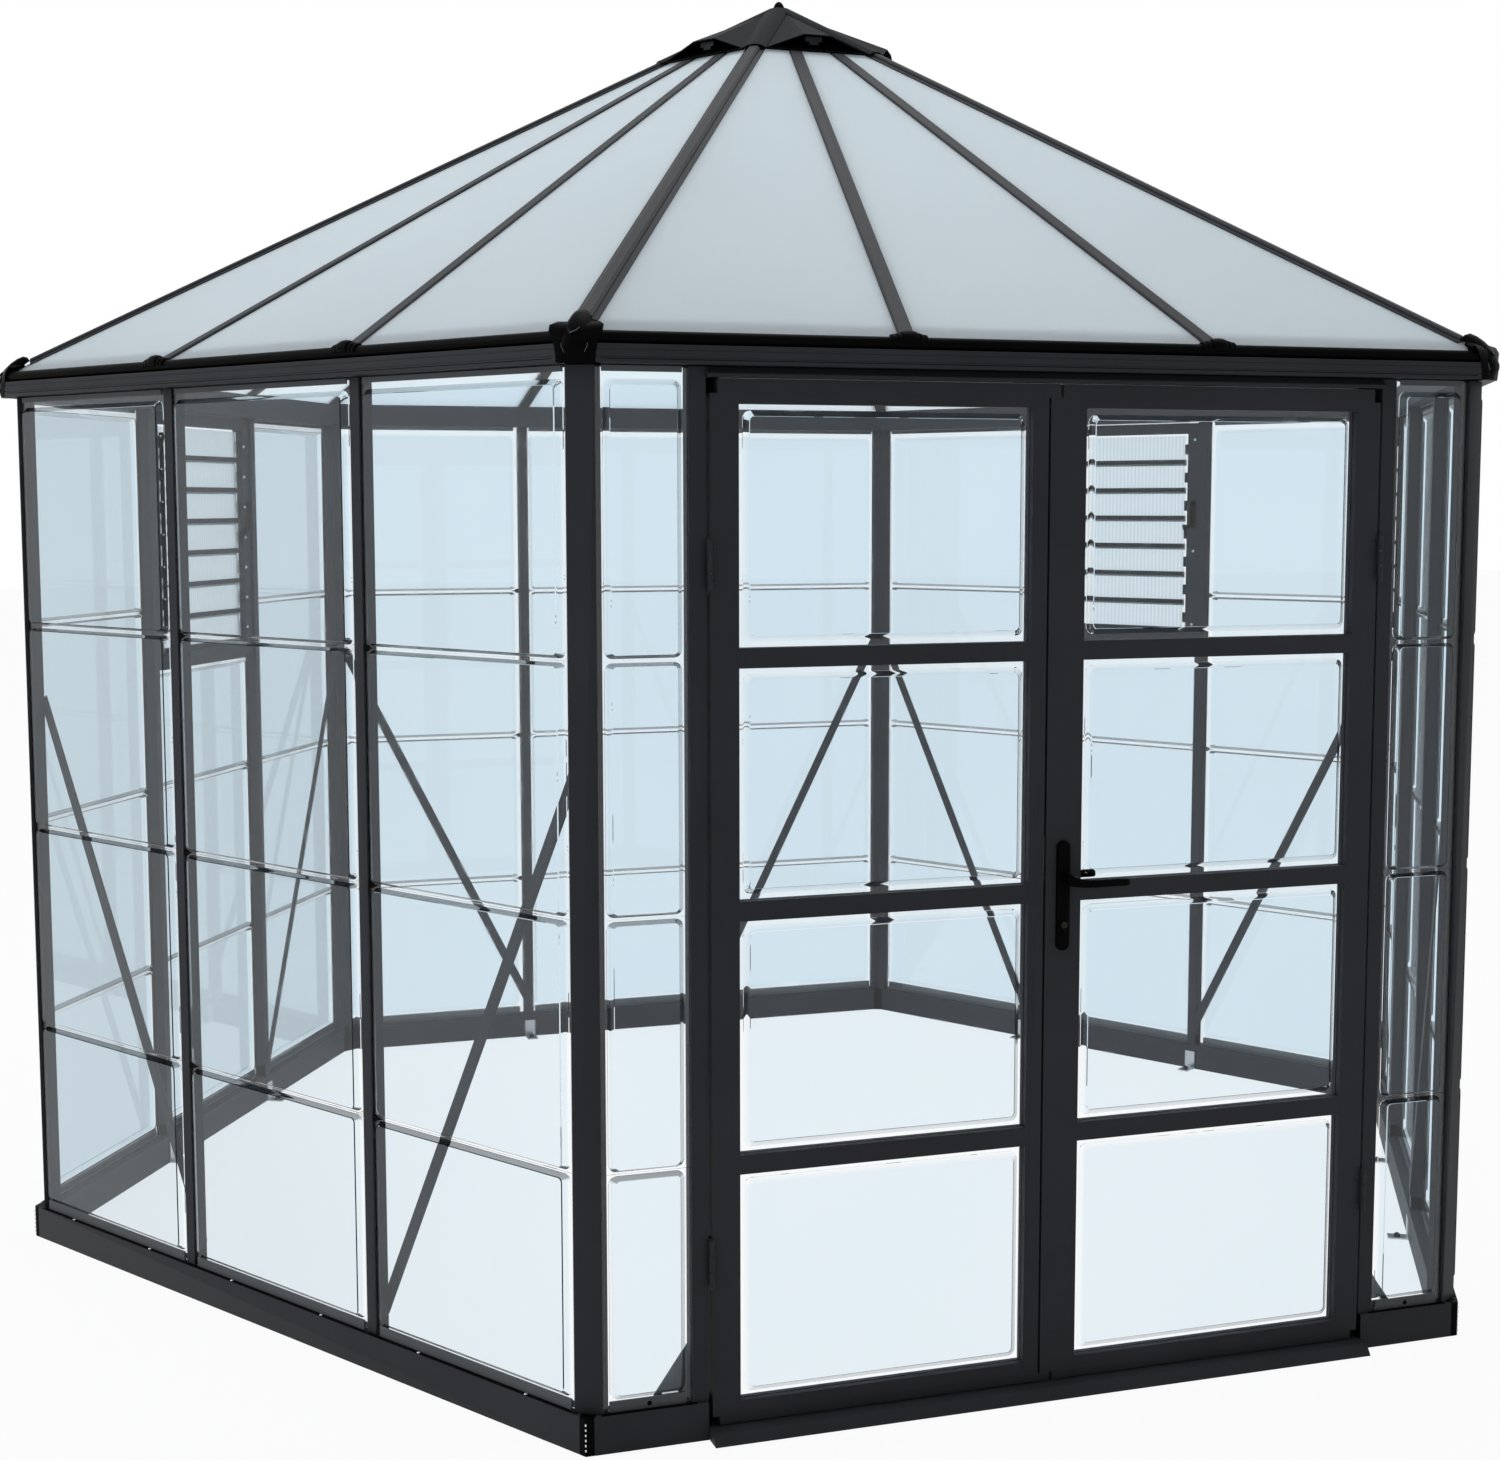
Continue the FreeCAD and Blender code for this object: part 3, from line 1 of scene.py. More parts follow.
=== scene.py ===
import bpy
import bmesh
import math
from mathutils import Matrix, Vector


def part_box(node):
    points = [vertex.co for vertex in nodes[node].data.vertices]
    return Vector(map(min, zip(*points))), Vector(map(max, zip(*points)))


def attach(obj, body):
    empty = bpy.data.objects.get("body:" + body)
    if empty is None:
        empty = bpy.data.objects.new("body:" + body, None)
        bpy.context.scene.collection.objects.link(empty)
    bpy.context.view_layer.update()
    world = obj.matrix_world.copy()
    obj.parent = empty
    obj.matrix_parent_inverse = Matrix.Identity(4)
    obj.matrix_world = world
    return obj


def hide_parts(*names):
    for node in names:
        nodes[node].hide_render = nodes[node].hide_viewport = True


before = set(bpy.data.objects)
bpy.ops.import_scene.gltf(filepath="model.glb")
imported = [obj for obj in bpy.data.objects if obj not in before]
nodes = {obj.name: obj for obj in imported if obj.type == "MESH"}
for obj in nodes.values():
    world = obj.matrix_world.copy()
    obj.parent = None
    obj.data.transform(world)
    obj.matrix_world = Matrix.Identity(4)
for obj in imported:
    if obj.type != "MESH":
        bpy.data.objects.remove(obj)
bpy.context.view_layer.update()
scene = bpy.context.scene
scene.view_settings.view_transform = "Standard"
louvre_walls = {"left": 4, "right": 2}

# Shared places in millimetres: s along a wall, a out from the middle, z up
row_levels = [70.5, 482.08, 917.05, 1350.0, 1829.5]
louvre_levels = [70.5, 482.08, 917.05, 1214.5]
post_places = (-290, 290)
trim_a, trim_z = 1514.5, 1876.5
hinge_s, hinge_a = 646, 1510.5
hinge_heights = (312.5, 1506.5)
leaf_front, leaf_back = 1504, 1478
handle_s, handle_z, lock_z = 11, 947, 862
slat_a, slat_top, slat_pitch, slat_count = 1487, 1757.4, 78.45, 7


def on_wall(wall, s, a, z):
    # Wall 0 has the doors, and wall 0.5 is the corner after it
    turn = math.radians(60 * wall)
    x = s * math.cos(turn) + a * math.sin(turn)
    y = s * math.sin(turn) - a * math.cos(turn)
    return Vector((x, y, z)) / 1000


def rounded(x0, x1, y0, y1, radius, steps=5):
    corners = [(x1 - radius, y1 - radius, 0), (x0 + radius, y1 - radius, 90),
               (x0 + radius, y0 + radius, 180), (x1 - radius, y0 + radius, 270)]
    points = []
    for x, y, first in corners:
        for step in range(steps + 1):
            angle = math.radians(first + 90 * step / steps)
            points.append((x + radius * math.cos(angle), y + radius * math.sin(angle)))
    return points


def circle(radius, count):
    angles = [2 * math.pi * k / count for k in range(count)]
    return [(radius * math.cos(angle), radius * math.sin(angle)) for angle in angles]


# Shapes: closed skins drawn through rings of points
def loft(shape, rings):
    rows = [[shape.verts.new(point) for point in ring] for ring in rings]
    for low, high in zip(rows, rows[1:]):
        for k in range(len(low)):
            after = (k + 1) % len(low)
            shape.faces.new((low[k], low[after], high[after], high[k]))
    shape.faces.new(list(reversed(rows[0])))
    shape.faces.new(rows[-1])


def lathe(shape, place, profile, count=20):
    loft(shape, [[place(x, y, h) for x, y in circle(radius, count)] for radius, h in profile])


def slab(shape, place, box, h0, h1, radius, edge):
    x0, x1, y0, y1 = box
    rings = []
    for inset, h in ((edge, h0), (0, h0 + edge), (0, h1 - edge), (edge, h1)):
        outline = rounded(x0 + inset, x1 - inset, y0 + inset, y1 - inset, max(radius - inset, 0.15))
        rings.append([place(x, y, h) for x, y in outline])
    loft(shape, rings)


def tube(shape, points, radius, count=8):
    # Round bead along a line of points
    rings = []
    for k, point in enumerate(points):
        ahead = (points[min(k + 1, len(points) - 1)] - points[max(k - 1, 0)]).normalized()
        across = ahead.orthogonal().normalized()
        other = ahead.cross(across)
        rings.append([point + across * (x / 1000) + other * (y / 1000) for x, y in circle(radius, count)])
    loft(shape, rings)


def dome(shape, place, radius, height):
    shares = [(1, 0), (1, 0.2), (0.88, 0.6), (0.55, 0.9), (0.1, 1)]
    lathe(shape, place, [(wide * radius, high * height) for wide, high in shares], 14)


def facing(wall, s, a, z):
    # Heights of a shape point out of the wall
    return lambda x, y, h: on_wall(wall, s + x, a + h, z + y)


def upright(wall, s=0, a=0, z=0):
    # Heights of a shape point up
    return lambda x, y, h: on_wall(wall, s + x, a + y, z + h)


def lengthwise(wall, s, a, z):
    # Heights of a shape point along the wall
    return lambda x, y, h: on_wall(wall, s + h, a + x, z + y)


def piece(shape, name, mat, body="greenhouse", stands_for=(), sharp=35.0):
    bmesh.ops.recalc_face_normals(shape, faces=shape.faces)
    for edge in shape.edges:
        edge.smooth = edge.calc_face_angle(0) < math.radians(sharp)
    for face in shape.faces:
        face.smooth = True
    mesh = bpy.data.meshes.new(name)
    shape.to_mesh(mesh)
    shape.free()
    mesh.materials.append(mat)
    obj = bpy.data.objects.new(name, mesh)
    scene.collection.objects.link(obj)
    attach(obj, body)
    if stands_for:
        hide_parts(*stands_for)


# Material helpers
def new_material(name):
    mat = bpy.data.materials.new(name)
    mat.use_nodes = True
    tree = mat.node_tree
    return mat, tree, tree.nodes["Principled BSDF"]


def add(tree, kind, **values):
    node = tree.nodes.new(kind)
    for key, value in values.items():
        if hasattr(node, key):
            setattr(node, key, value)
        else:
            node.inputs[key.replace("_", " ").title()].default_value = value
    return node


def feed(tree, value, socket):
    if isinstance(value, (int, float)):
        socket.default_value = value
    else:
        tree.links.new(value, socket)


def maths(tree, operation, first, second=0):
    node = add(tree, "ShaderNodeMath", operation=operation)
    feed(tree, first, node.inputs[0])
    feed(tree, second, node.inputs[1])
    return node.outputs["Value"]


def object_place(tree):
    return add(tree, "ShaderNodeTexCoord").outputs["Object"]


def along_axis(tree, direction):
    node = add(tree, "ShaderNodeVectorMath", operation="DOT_PRODUCT")
    tree.links.new(object_place(tree), node.inputs[0])
    node.inputs[1].default_value = direction
    return node.outputs["Value"]


def object_noise(tree, scale, detail):
    noise = add(tree, "ShaderNodeTexNoise", scale=scale, detail=detail)
    tree.links.new(object_place(tree), noise.inputs["Vector"])
    return noise.outputs["Fac"]


def ramp(tree, fac, stops):
    # Two stops, as a new ramp has
    node = add(tree, "ShaderNodeValToRGB")
    for element, (place, colour) in zip(node.color_ramp.elements, stops):
        element.position = place
        element.color = (*colour, 1)
    tree.links.new(fac, node.inputs["Fac"])
    return node.outputs["Color"]


def spread(tree, fac, low, high, first=0.3, last=0.7):
    node = add(tree, "ShaderNodeMapRange")
    node.inputs["From Min"].default_value = first
    node.inputs["From Max"].default_value = last
    node.inputs["To Min"].default_value = low
    node.inputs["To Max"].default_value = high
    tree.links.new(fac, node.inputs["Value"])
    return node.outputs["Result"]


def blend_colour(tree, fac, first, second):
    node = add(tree, "ShaderNodeMix", data_type="RGBA")
    tree.links.new(fac, node.inputs["Factor"])
    tree.links.new(first, node.inputs["A"])
    tree.links.new(second, node.inputs["B"])
    return node.outputs["Result"]


def bump(tree, shader, fac, strength, distance):
    node = add(tree, "ShaderNodeBump")
    node.inputs["Strength"].default_value = strength
    node.inputs["Distance"].default_value = distance
    tree.links.new(fac, node.inputs["Height"])
    tree.links.new(node.outputs["Normal"], shader.inputs["Normal"])


def coated(name, dark, light, rough, grain, metal=0.0, gloss=0.5):
    # Painted, moulded or plated surface: broad tone drift, fine grain in gloss and relief
    mat, tree, shader = new_material(name)
    drift = object_noise(tree, 5.0, 4.0)
    fine = object_noise(tree, grain, 3.0)
    tree.links.new(ramp(tree, drift, [(0.3, dark), (0.7, light)]), shader.inputs["Base Color"])
    tree.links.new(spread(tree, fine, *rough), shader.inputs["Roughness"])
    shader.inputs["Metallic"].default_value = metal
    shader.inputs["Specular IOR Level"].default_value = gloss
    bump(tree, shader, fine, 0.15, 0.0002)
    return mat


def let_lamps_through(mat, tint):
    # Lamps shine through the sheet as through clear plastic
    tree = mat.node_tree
    out = tree.nodes["Material Output"]
    shader = out.inputs["Surface"].links[0].from_socket
    path = add(tree, "ShaderNodeLightPath")
    clear = add(tree, "ShaderNodeBsdfTransparent")
    clear.inputs["Color"].default_value = (*tint, 1)
    mix = add(tree, "ShaderNodeMixShader")
    tree.links.new(path.outputs["Is Shadow Ray"], mix.inputs["Fac"])
    tree.links.new(shader, mix.inputs[1])
    tree.links.new(clear.outputs["BSDF"], mix.inputs[2])
    tree.links.new(mix.outputs["Shader"], out.inputs["Surface"])


def pan_sheet(name, row_joints):
    # Clear pressed pans: faint blue field, paler flat rim, painted shade that greys the tint at a slant, and
    # painted light and shade on the bevels at row joints
    mat, tree, shader = new_material(name)
    rim_depth, field_depth, joint_reach = 1.4937, 1.4973, 0.013
    reach = None
    for wall in range(3):
        turn = math.radians(60 * wall)
        depth = maths(tree, "ABSOLUTE", along_axis(tree, (math.sin(turn), -math.cos(turn), 0)))
        reach = depth if reach is None else maths(tree, "MAXIMUM", reach, depth)
    raised = spread(tree, reach, 0, 1, rim_depth, field_depth)
    drift = object_noise(tree, 2.2, 3.0)
    fine = object_noise(tree, 35.0, 2.0)
    field = ramp(tree, drift, [(0.3, (0.79, 0.872, 0.922)), (0.7, (0.805, 0.885, 0.933))])
    rim = ramp(tree, drift, [(0.3, (0.955, 0.975, 0.985)), (0.7, (0.97, 0.985, 0.992))])
    tint = blend_colour(tree, raised, rim, field)
    # Painted shade: the tint turns grey as the sheet is seen more at a slant
    slant = add(tree, "ShaderNodeLayerWeight", blend=0.5)
    slant_shade = ramp(tree, drift, [(0.3, (0.30, 0.33, 0.345)), (0.7, (0.32, 0.35, 0.365))])
    tint = blend_colour(tree, spread(tree, slant.outputs["Facing"], 0, 1, 0.34, 0.95), tint, slant_shade)
    if row_joints:
        z = along_axis(tree, (0, 0, 1))
        away = []
        for joint in row_joints:
            away.append(maths(tree, "ABSOLUTE", maths(tree, "SUBTRACT", z, joint / 1000)))
        nearest = maths(tree, "MINIMUM", maths(tree, "MINIMUM", away[0], away[1]), away[2])
        at_joint = maths(tree, "LESS_THAN", nearest, joint_reach)
        # Painted light and shade on the bevels at row joints: pale grey where a bevel faces up, near black
        # where it faces down
        lean = add(tree, "ShaderNodeSeparateXYZ")
        tree.links.new(add(tree, "ShaderNodeNewGeometry").outputs["True Normal"], lean.inputs["Vector"])
        up = spread(tree, lean.outputs["Z"], 0, 1, 0.3, 0.5)
        down = spread(tree, lean.outputs["Z"], 0, 1, -0.3, -0.5)
        pale = ramp(tree, drift, [(0.3, (0.34, 0.37, 0.39)), (0.7, (0.38, 0.41, 0.43))])
        bevel_shade = ramp(tree, drift, [(0.3, (0.10, 0.11, 0.12)), (0.7, (0.12, 0.13, 0.14))])
        tint = blend_colour(tree, maths(tree, "MULTIPLY", up, at_joint), tint, pale)
        tint = blend_colour(tree, maths(tree, "MULTIPLY", down, at_joint), tint, bevel_shade)
    tree.links.new(tint, shader.inputs["Base Color"])
    tree.links.new(spread(tree, fine, 0.0, 0.03), shader.inputs["Roughness"])
    shader.inputs["Transmission Weight"].default_value = 1.0
    shader.inputs["IOR"].default_value = 1.33
    let_lamps_through(mat, (0.9, 0.94, 0.96))
    return mat


def roof_sheet():
    # Milky sheet: scatters the light that passes through it, soft sheen, faint cloudiness
    mat, tree, shader = new_material("milky_roof_sheet")
    drift = object_noise(tree, 1.6, 3.0)
    fine = object_noise(tree, 260.0, 2.0)
    tint = ramp(tree, drift, [(0.25, (0.83, 0.872, 0.893)), (0.75, (0.855, 0.897, 0.917))])
    tree.links.new(tint, shader.inputs["Base Color"])
    tree.links.new(spread(tree, fine, 0.52, 0.64), shader.inputs["Roughness"])
    shader.inputs["Specular IOR Level"].default_value = 0.2
    bump(tree, shader, fine, 0.05, 0.0002)
    passed = add(tree, "ShaderNodeBsdfTranslucent")
    tree.links.new(tint, passed.inputs["Color"])
    milk = add(tree, "ShaderNodeMixShader")
    milk.inputs["Fac"].default_value = 0.72
    tree.links.new(shader.outputs["BSDF"], milk.inputs[1])
    tree.links.new(passed.outputs["BSDF"], milk.inputs[2])
    tree.links.new(milk.outputs["Shader"], tree.nodes["Material Output"].inputs["Surface"])
    let_lamps_through(mat, (0.6, 0.65, 0.68))
    return mat


def slat_sheet(side, wall):
    # Ribbed clear blade with the ribs' light and shade painted as paler and greyer stripes in its tint, its
    # dark edge bar on both faces and black clips past its ends
    mat, tree, shader = new_material(f"{side}_ribbed_slat")
    blade_shift, half_blade, half_thick, rib_pitch = 0.006, 0.2203, 0.0032, 0.012
    turn = math.radians(60 * wall)
    s = along_axis(tree, (math.cos(turn), math.sin(turn), 0))
    a = along_axis(tree, (math.sin(turn), -math.cos(turn), 0))
    off_plane = maths(tree, "ABSOLUTE", maths(tree, "SUBTRACT", a, slat_a / 1000))
    past_end = maths(tree, "ABSOLUTE", maths(tree, "ADD", s, blade_shift))
    bar = maths(tree, "GREATER_THAN", off_plane, half_thick)
    clip = maths(tree, "GREATER_THAN", past_end, half_blade)
    dark = maths(tree, "MAXIMUM", bar, clip)
    # Painted shade of the ribs: a sine of paler and greyer stripes across the blade
    wave = maths(tree, "SINE", maths(tree, "MULTIPLY", s, 2 * math.pi / rib_pitch))
    rib_shading = spread(tree, wave, 0, 1, -1, 1)
    blade = ramp(tree, rib_shading, [(0.25, (0.74, 0.80, 0.83)), (0.75, (0.98, 0.985, 0.99))])
    drift = object_noise(tree, 40.0, 3.0)
    coat = ramp(tree, drift, [(0.3, (0.022, 0.023, 0.025)), (0.7, (0.03, 0.031, 0.034))])
    tree.links.new(blend_colour(tree, dark, blade, coat), shader.inputs["Base Color"])
    tree.links.new(spread(tree, dark, 0.85, 0.0, 0, 1), shader.inputs["Transmission Weight"])
    tree.links.new(spread(tree, drift, 0.3, 0.42), shader.inputs["Roughness"])
    shader.inputs["IOR"].default_value = 1.2
    let_lamps_through(mat, (0.7, 0.75, 0.78))
    return mat


# Materials: darkest and lightest tone, range of roughness, scale of the grain
powder = coated("charcoal_powder_coat", (0.041, 0.0425, 0.0475), (0.050, 0.0515, 0.0575),
                (0.45, 0.58), 1400.0, gloss=0.08)
# Pale grey for the sill bars, head bars and gusset plates, also drawing painted highlights on the eave
# corner hoods
pale_grey_and_highlight = coated("pale_grey_coat_and_painted_highlight", (0.135, 0.143, 0.149), (0.155, 0.163, 0.169),
                      (0.45, 0.58), 1400.0, gloss=0.1)
plastic = coated("black_moulded_plastic", (0.0022, 0.0022, 0.0025), (0.0036, 0.0036, 0.004),
                 (0.34, 0.46), 700.0, gloss=0.02)
cap_plastic = coated("dark_cap_plastic", (0.0195, 0.0212, 0.0228), (0.0235, 0.0254, 0.0272),
                     (0.42, 0.55), 700.0, gloss=0.012)
steel = coated("zinc_plated_steel", (0.42, 0.43, 0.45), (0.55, 0.56, 0.58), (0.28, 0.42), 500.0, metal=1.0)
# Bright steel for the screws and rivets, also drawing painted glints on the base corners, the eave corner
# dishes and the pan joint clips
bright = coated("bright_steel_for_screws_and_painted_glints", (0.86, 0.87, 0.88), (0.95, 0.95, 0.96), (0.15, 0.3), 500.0, metal=0.6)
brass = coated("blackened_brass", (0.018, 0.017, 0.014), (0.03, 0.028, 0.022), (0.3, 0.4), 500.0, metal=1.0)
glass = pan_sheet("clear_wall_pan", row_levels[1:4])
door_glass = pan_sheet("clear_door_pan", [])
roof = roof_sheet()

looks = {
    powder: ["base_rails", "door_threshold", "corner_posts", "wall_posts", "door_jambs", "door_header",
             "ring_beams", "gutters", "hip_rafters", "rafters", "corner_braces",
             "hinge_jamb_plates", "left_leaf_frame", "right_leaf_frame", "left_hinge_plates",
             "right_hinge_plates", "louvre_frames"],
    pale_grey_and_highlight: ["sill_bars", "head_bars", "gusset_plates"],
    cap_plastic: ["apex_cap"],
    plastic: ["base_corners", "eave_trims", "eave_corner_connectors", "rafter_clips", "apex_hub",
              "apex_finial", "handle_levers", "handle_plates", "left_louvre_link", "right_louvre_link",
              "left_louvre_lever", "right_louvre_lever"],
    steel: ["anchor_brackets", "hinge_pins", "handle_spindle", "lock_case", "latch_bolt", "strike_plate"],
    brass: ["lock_cylinder", "lock_plug"],
    glass: ["wall_panels"],
    door_glass: ["left_leaf_panes", "right_leaf_panes"],
    roof: ["roof_panels"],
}
for side, wall in louvre_walls.items():
    looks[slat_sheet(side, wall)] = [f"{side}_louvre_slat_{number}" for number in range(1, slat_count + 1)]
for mat, names in looks.items():
    for name in names:
        nodes[name].data.materials.clear()
        nodes[name].data.materials.append(mat)


# Rounded edges on the bars and mouldings
def soften(name, width):
    node = nodes[name]
    weld = node.modifiers.new("weld", "WELD")
    weld.merge_threshold = 0.00001
    edges = node.modifiers.new("edges", "BEVEL")
    edges.width = width / 1000
    edges.segments = 2
    edges.limit_method = "ANGLE"
    edges.angle_limit = math.radians(40.0)


for name in looks[powder] + looks[pale_grey_and_highlight] + ["base_corners", "apex_hub"]:
    soften(name, 0.7)

# Pressed wall and door pans: edges of the bays, then width of the flat rim and of the bevel
bay_edges = {"corner": (294.5, 841.57), "middle": (-285.5, 285.5), "door": (671.5, 841.57)}
end_rim = (18, 10)
joint_rim = (3.3, 6)


def pan(shape, wall, edges, levels, back, bulge, rims):
    left, right = edges
    low, high = levels

    def ring(side, floor, top, radius, a):
        outline = rounded(left + side, right - side, low + floor, high - top, radius)
        return [on_wall(wall, s, a, z) for s, z in outline]

    thickness = 3
    side, side_bevel = end_rim
    (floor, floor_bevel), (top, top_bevel) = rims
    skins = []
    for a in (back, back + thickness):
        field = ring(side, floor, top, 14, a)
        crown = ring(side + side_bevel, floor + floor_bevel, top + top_bevel, 8, a + bulge)
        skins.append([crown, field, ring(0, 0, 0, 1, a)])
    loft(shape, skins[0] + skins[1][::-1])


def wall_pans():
    shape = bmesh.new()
    back, bulge, half_gap = 1490.6, 12, 0.25
    for wall in range(6):
        door, corner, middle = bay_edges["door"], bay_edges["corner"], bay_edges["middle"]
        bays = [(door, row_levels)] if wall == 0 else [(corner, row_levels)]
        bays += [((-right, -left), levels) for (left, right), levels in bays]
        if wall:
            bays.append((middle, louvre_levels if wall in louvre_walls.values() else row_levels))
        for edges, levels in bays:
            for low, high in zip(levels, levels[1:]):
                floor = end_rim if low == levels[0] else joint_rim
                top = end_rim if high == levels[-1] else joint_rim
                low_gap = 0 if low == levels[0] else half_gap
                high_gap = 0 if high == levels[-1] else half_gap
                pan(shape, wall, edges, (low + low_gap, high - high_gap), back, bulge, (floor, top))
    piece(shape, "pressed_wall_pans", glass, stands_for=["wall_panels"])


def door_pans(side, edges):
    shape = bmesh.new()
    glass_low, glass_high, bar_half, seat = 62.0, 1773.0, 17.0, 7.5
    back, bulge = 1488.5, 9
    bars = [480.06, 919.98, 1350.0]
    lows = [glass_low] + [bar + bar_half for bar in bars]
    highs = [bar - bar_half for bar in bars] + [glass_high]
    for low, high in zip(lows, highs):
        pan(shape, 0, edges, (low - seat, high + seat), back, bulge, (end_rim, end_rim))
    name = f"pressed_{side}_door_pans"
    piece(shape, name, door_glass, f"{side}_door", [f"{side}_leaf_panes"])


wall_pans()
door_pans("left", (-600.5, -48.5))
door_pans("right", (39.5, 600.5))


# Eaves and cap: round trim, clips over it, corner hoods, vent cap and knob
def around_trim(radius, angle):
    return trim_a + radius * math.cos(angle), trim_z + radius * math.sin(angle)


def eave_rolls():
    shape = bmesh.new()
    radius, half, first, last, steps = 10.8, 835.07, 168.4, 491.6, 28
    slot_depth, slot_half, slot_turn = 4, 3.4, math.radians(150)
    profile = []
    for step in range(steps + 1):
        profile.append(around_trim(radius, math.radians(first + (last - first) * step / steps)))
    into = Vector((math.cos(slot_turn), math.sin(slot_turn)))
    for way in (-slot_half, slot_half):
        a = trim_a + slot_depth * into.x - way * into.y
        profile.append((a, trim_z + slot_depth * into.y + way * into.x))
    for wall in range(6):
        loft(shape, [[on_wall(wall, s, a, z) for a, z in profile] for s in (-half, half)])
    piece(shape, "round_eave_trims", plastic, stands_for=["eave_trims"])


def eave_clips():
    # Lobed saddles over the trim, tallest where the rafter lands
    shape = bmesh.new()
    inner, outer, steps, fullness, rafter_place = 11.05, 13.6, 16, 0.6, 295.4
    half = [(0, 8.6), (8, 8.0), (13.5, 6.2), (14.5, 2.0), (17.5, 1.8), (18.5, 4.4), (23.5, 3.2),
            (24.5, 0.8), (27, 0.6), (28, 2.2), (32, 1.4), (33, -0.8)]
    lobes = [(-s, grow) for s, grow in reversed(half[1:])] + half
    arc = [math.radians(-4 + 146 * step / steps) for step in range(steps + 1)]
    for wall in range(6):
        for place in (-rafter_place, rafter_place):
            rings = []
            for s, grow in lobes:
                points = []
                for step, angle in enumerate(arc):
                    rise = outer + grow * math.sin(math.pi * step / steps) ** fullness
                    points.append(around_trim(rise, angle))
                points += [around_trim(inner, angle) for angle in reversed(arc)]
                rings.append([on_wall(wall, place + s, a, z) for a, z in points])
            loft(shape, rings)
    piece(shape, "lobed_rafter_clips", plastic, stands_for=["rafter_clips"], sharp=50.0)


def corner_hoods():
    # Hooded eave corners: flanks over the gutter ends, ears over the trim ends, an arched hood down the
    # nose, with pale grey painted highlights along its edges and in its dish
    shells, highlight_ridges, dish_glints = bmesh.new(), bmesh.new(), bmesh.new()
    # Along the hood: place out from the middle, height, half width, depth of the arch
    crest = [(1690, 1913, 13.5, 11), (1695, 1920, 14.5, 13), (1704, 1922, 15.5, 15), (1716, 1916.5, 17, 16),
             (1729, 1907, 19, 16), (1742, 1894, 21, 15), (1752, 1878, 22.5, 13), (1758, 1862, 22, 12),
             (1757.5, 1852, 18.5, 10), (1754, 1845, 15, 9), (1751.5, 1836, 12, 8)]
    # Up the flanks: height, then places of back, ear, front and nose
    flanks = [(1834, (1699, 29), (1744, 30.5), (1750, 20), 1751),
              (1848, (1699, 32), (1744, 34), (1751, 22), 1752),
              (1868, (1699, 33), (1743, 37.5), (1749, 24), 1750),
              (1886, (1716, 32), (1741, 45.5), (1745, 25), 1746),
              (1896, (1711, 31), (1735, 45.5), (1735, 26), 1735),
              (1902, (1705, 26), (1722, 35), (1721, 24), 1721)]
    steps, fullness, skirt = 14, 0.55, 8
    dish_r, dish_z, dish_out = 1743, 1888.5, Vector((0.64, 0.77))
    rim = [(13, -3), (13, 0.6), (12, 1.5), (10.6, 1.0), (9.6, 0.2), (4, 0.1)]
    hook = [(6, -12), (7.5, -7), (7, -1), (4, 4), (0, 8), (-4, 11), (-7, 13)]
    for corner in range(6):
        def at(r, q, z):
            return on_wall(corner + 0.5, q, r, z)

        rings = []
        for z, back, ear, front, nose in flanks:
            half = [back, (ear[0] - 12, ear[1] - 4), ear, front]
            outline = [(r, -q) for r, q in half] + [(nose, 0)] + list(reversed(half))
            rings.append([at(r, q, z) for r, q in outline])
        loft(shells, rings)
        rings = []
        edges = {-1: [], 1: []}
        for k, (r, z, wide, deep) in enumerate(crest):
            before, after = crest[max(k - 1, 0)], crest[min(k + 1, len(crest) - 1)]
            ahead = Vector((after[0] - before[0], after[1] - before[1])).normalized()
            out = Vector((-ahead.y, ahead.x))

            def skin(q, depth):
                return at(r - out.x * depth, q, z - out.y * depth)

            ring = []
            for step in range(steps + 1):
                angle = math.pi * step / steps
                ring.append(skin(wide * math.cos(angle), deep * (1 - math.sin(angle) ** fullness)))
            ring += [skin(-wide, deep + skirt), skin(wide, deep + skirt)]
            rings.append(ring)
            for way in edges:
                edges[way].append(skin(way * wide * 0.97, deep * 0.62))
        loft(shells, rings)
        # Painted highlights: pale grey beads along both edges of the hood
        for way in edges:
            tube(highlight_ridges, edges[way][4:], 1.0)

        def on_dish(x, y, h):
            r = dish_r + dish_out.x * h + dish_out.y * y
            return at(r, x, dish_z + dish_out.y * h - dish_out.x * y)

        lathe(shells, on_dish, rim, 24)
        # Painted highlight: a pale grey hook in the dish
        tube(highlight_ridges, [on_dish(x, y, 1.6) for x, y in hook], 0.9)
        # Painted highlight: a bright steel dot in the dish
        dome(dish_glints, lambda x, y, h: on_dish(x - 1, y - 5, h), 2.0, 1.4)
    piece(shells, "hooded_eave_corners", plastic,
          stands_for=["eave_corner_connectors"], sharp=40.0)
    piece(highlight_ridges, "eave_corner_highlight_ridges", pale_grey_and_highlight)
    piece(dish_glints, "eave_corner_dish_glints", bright)


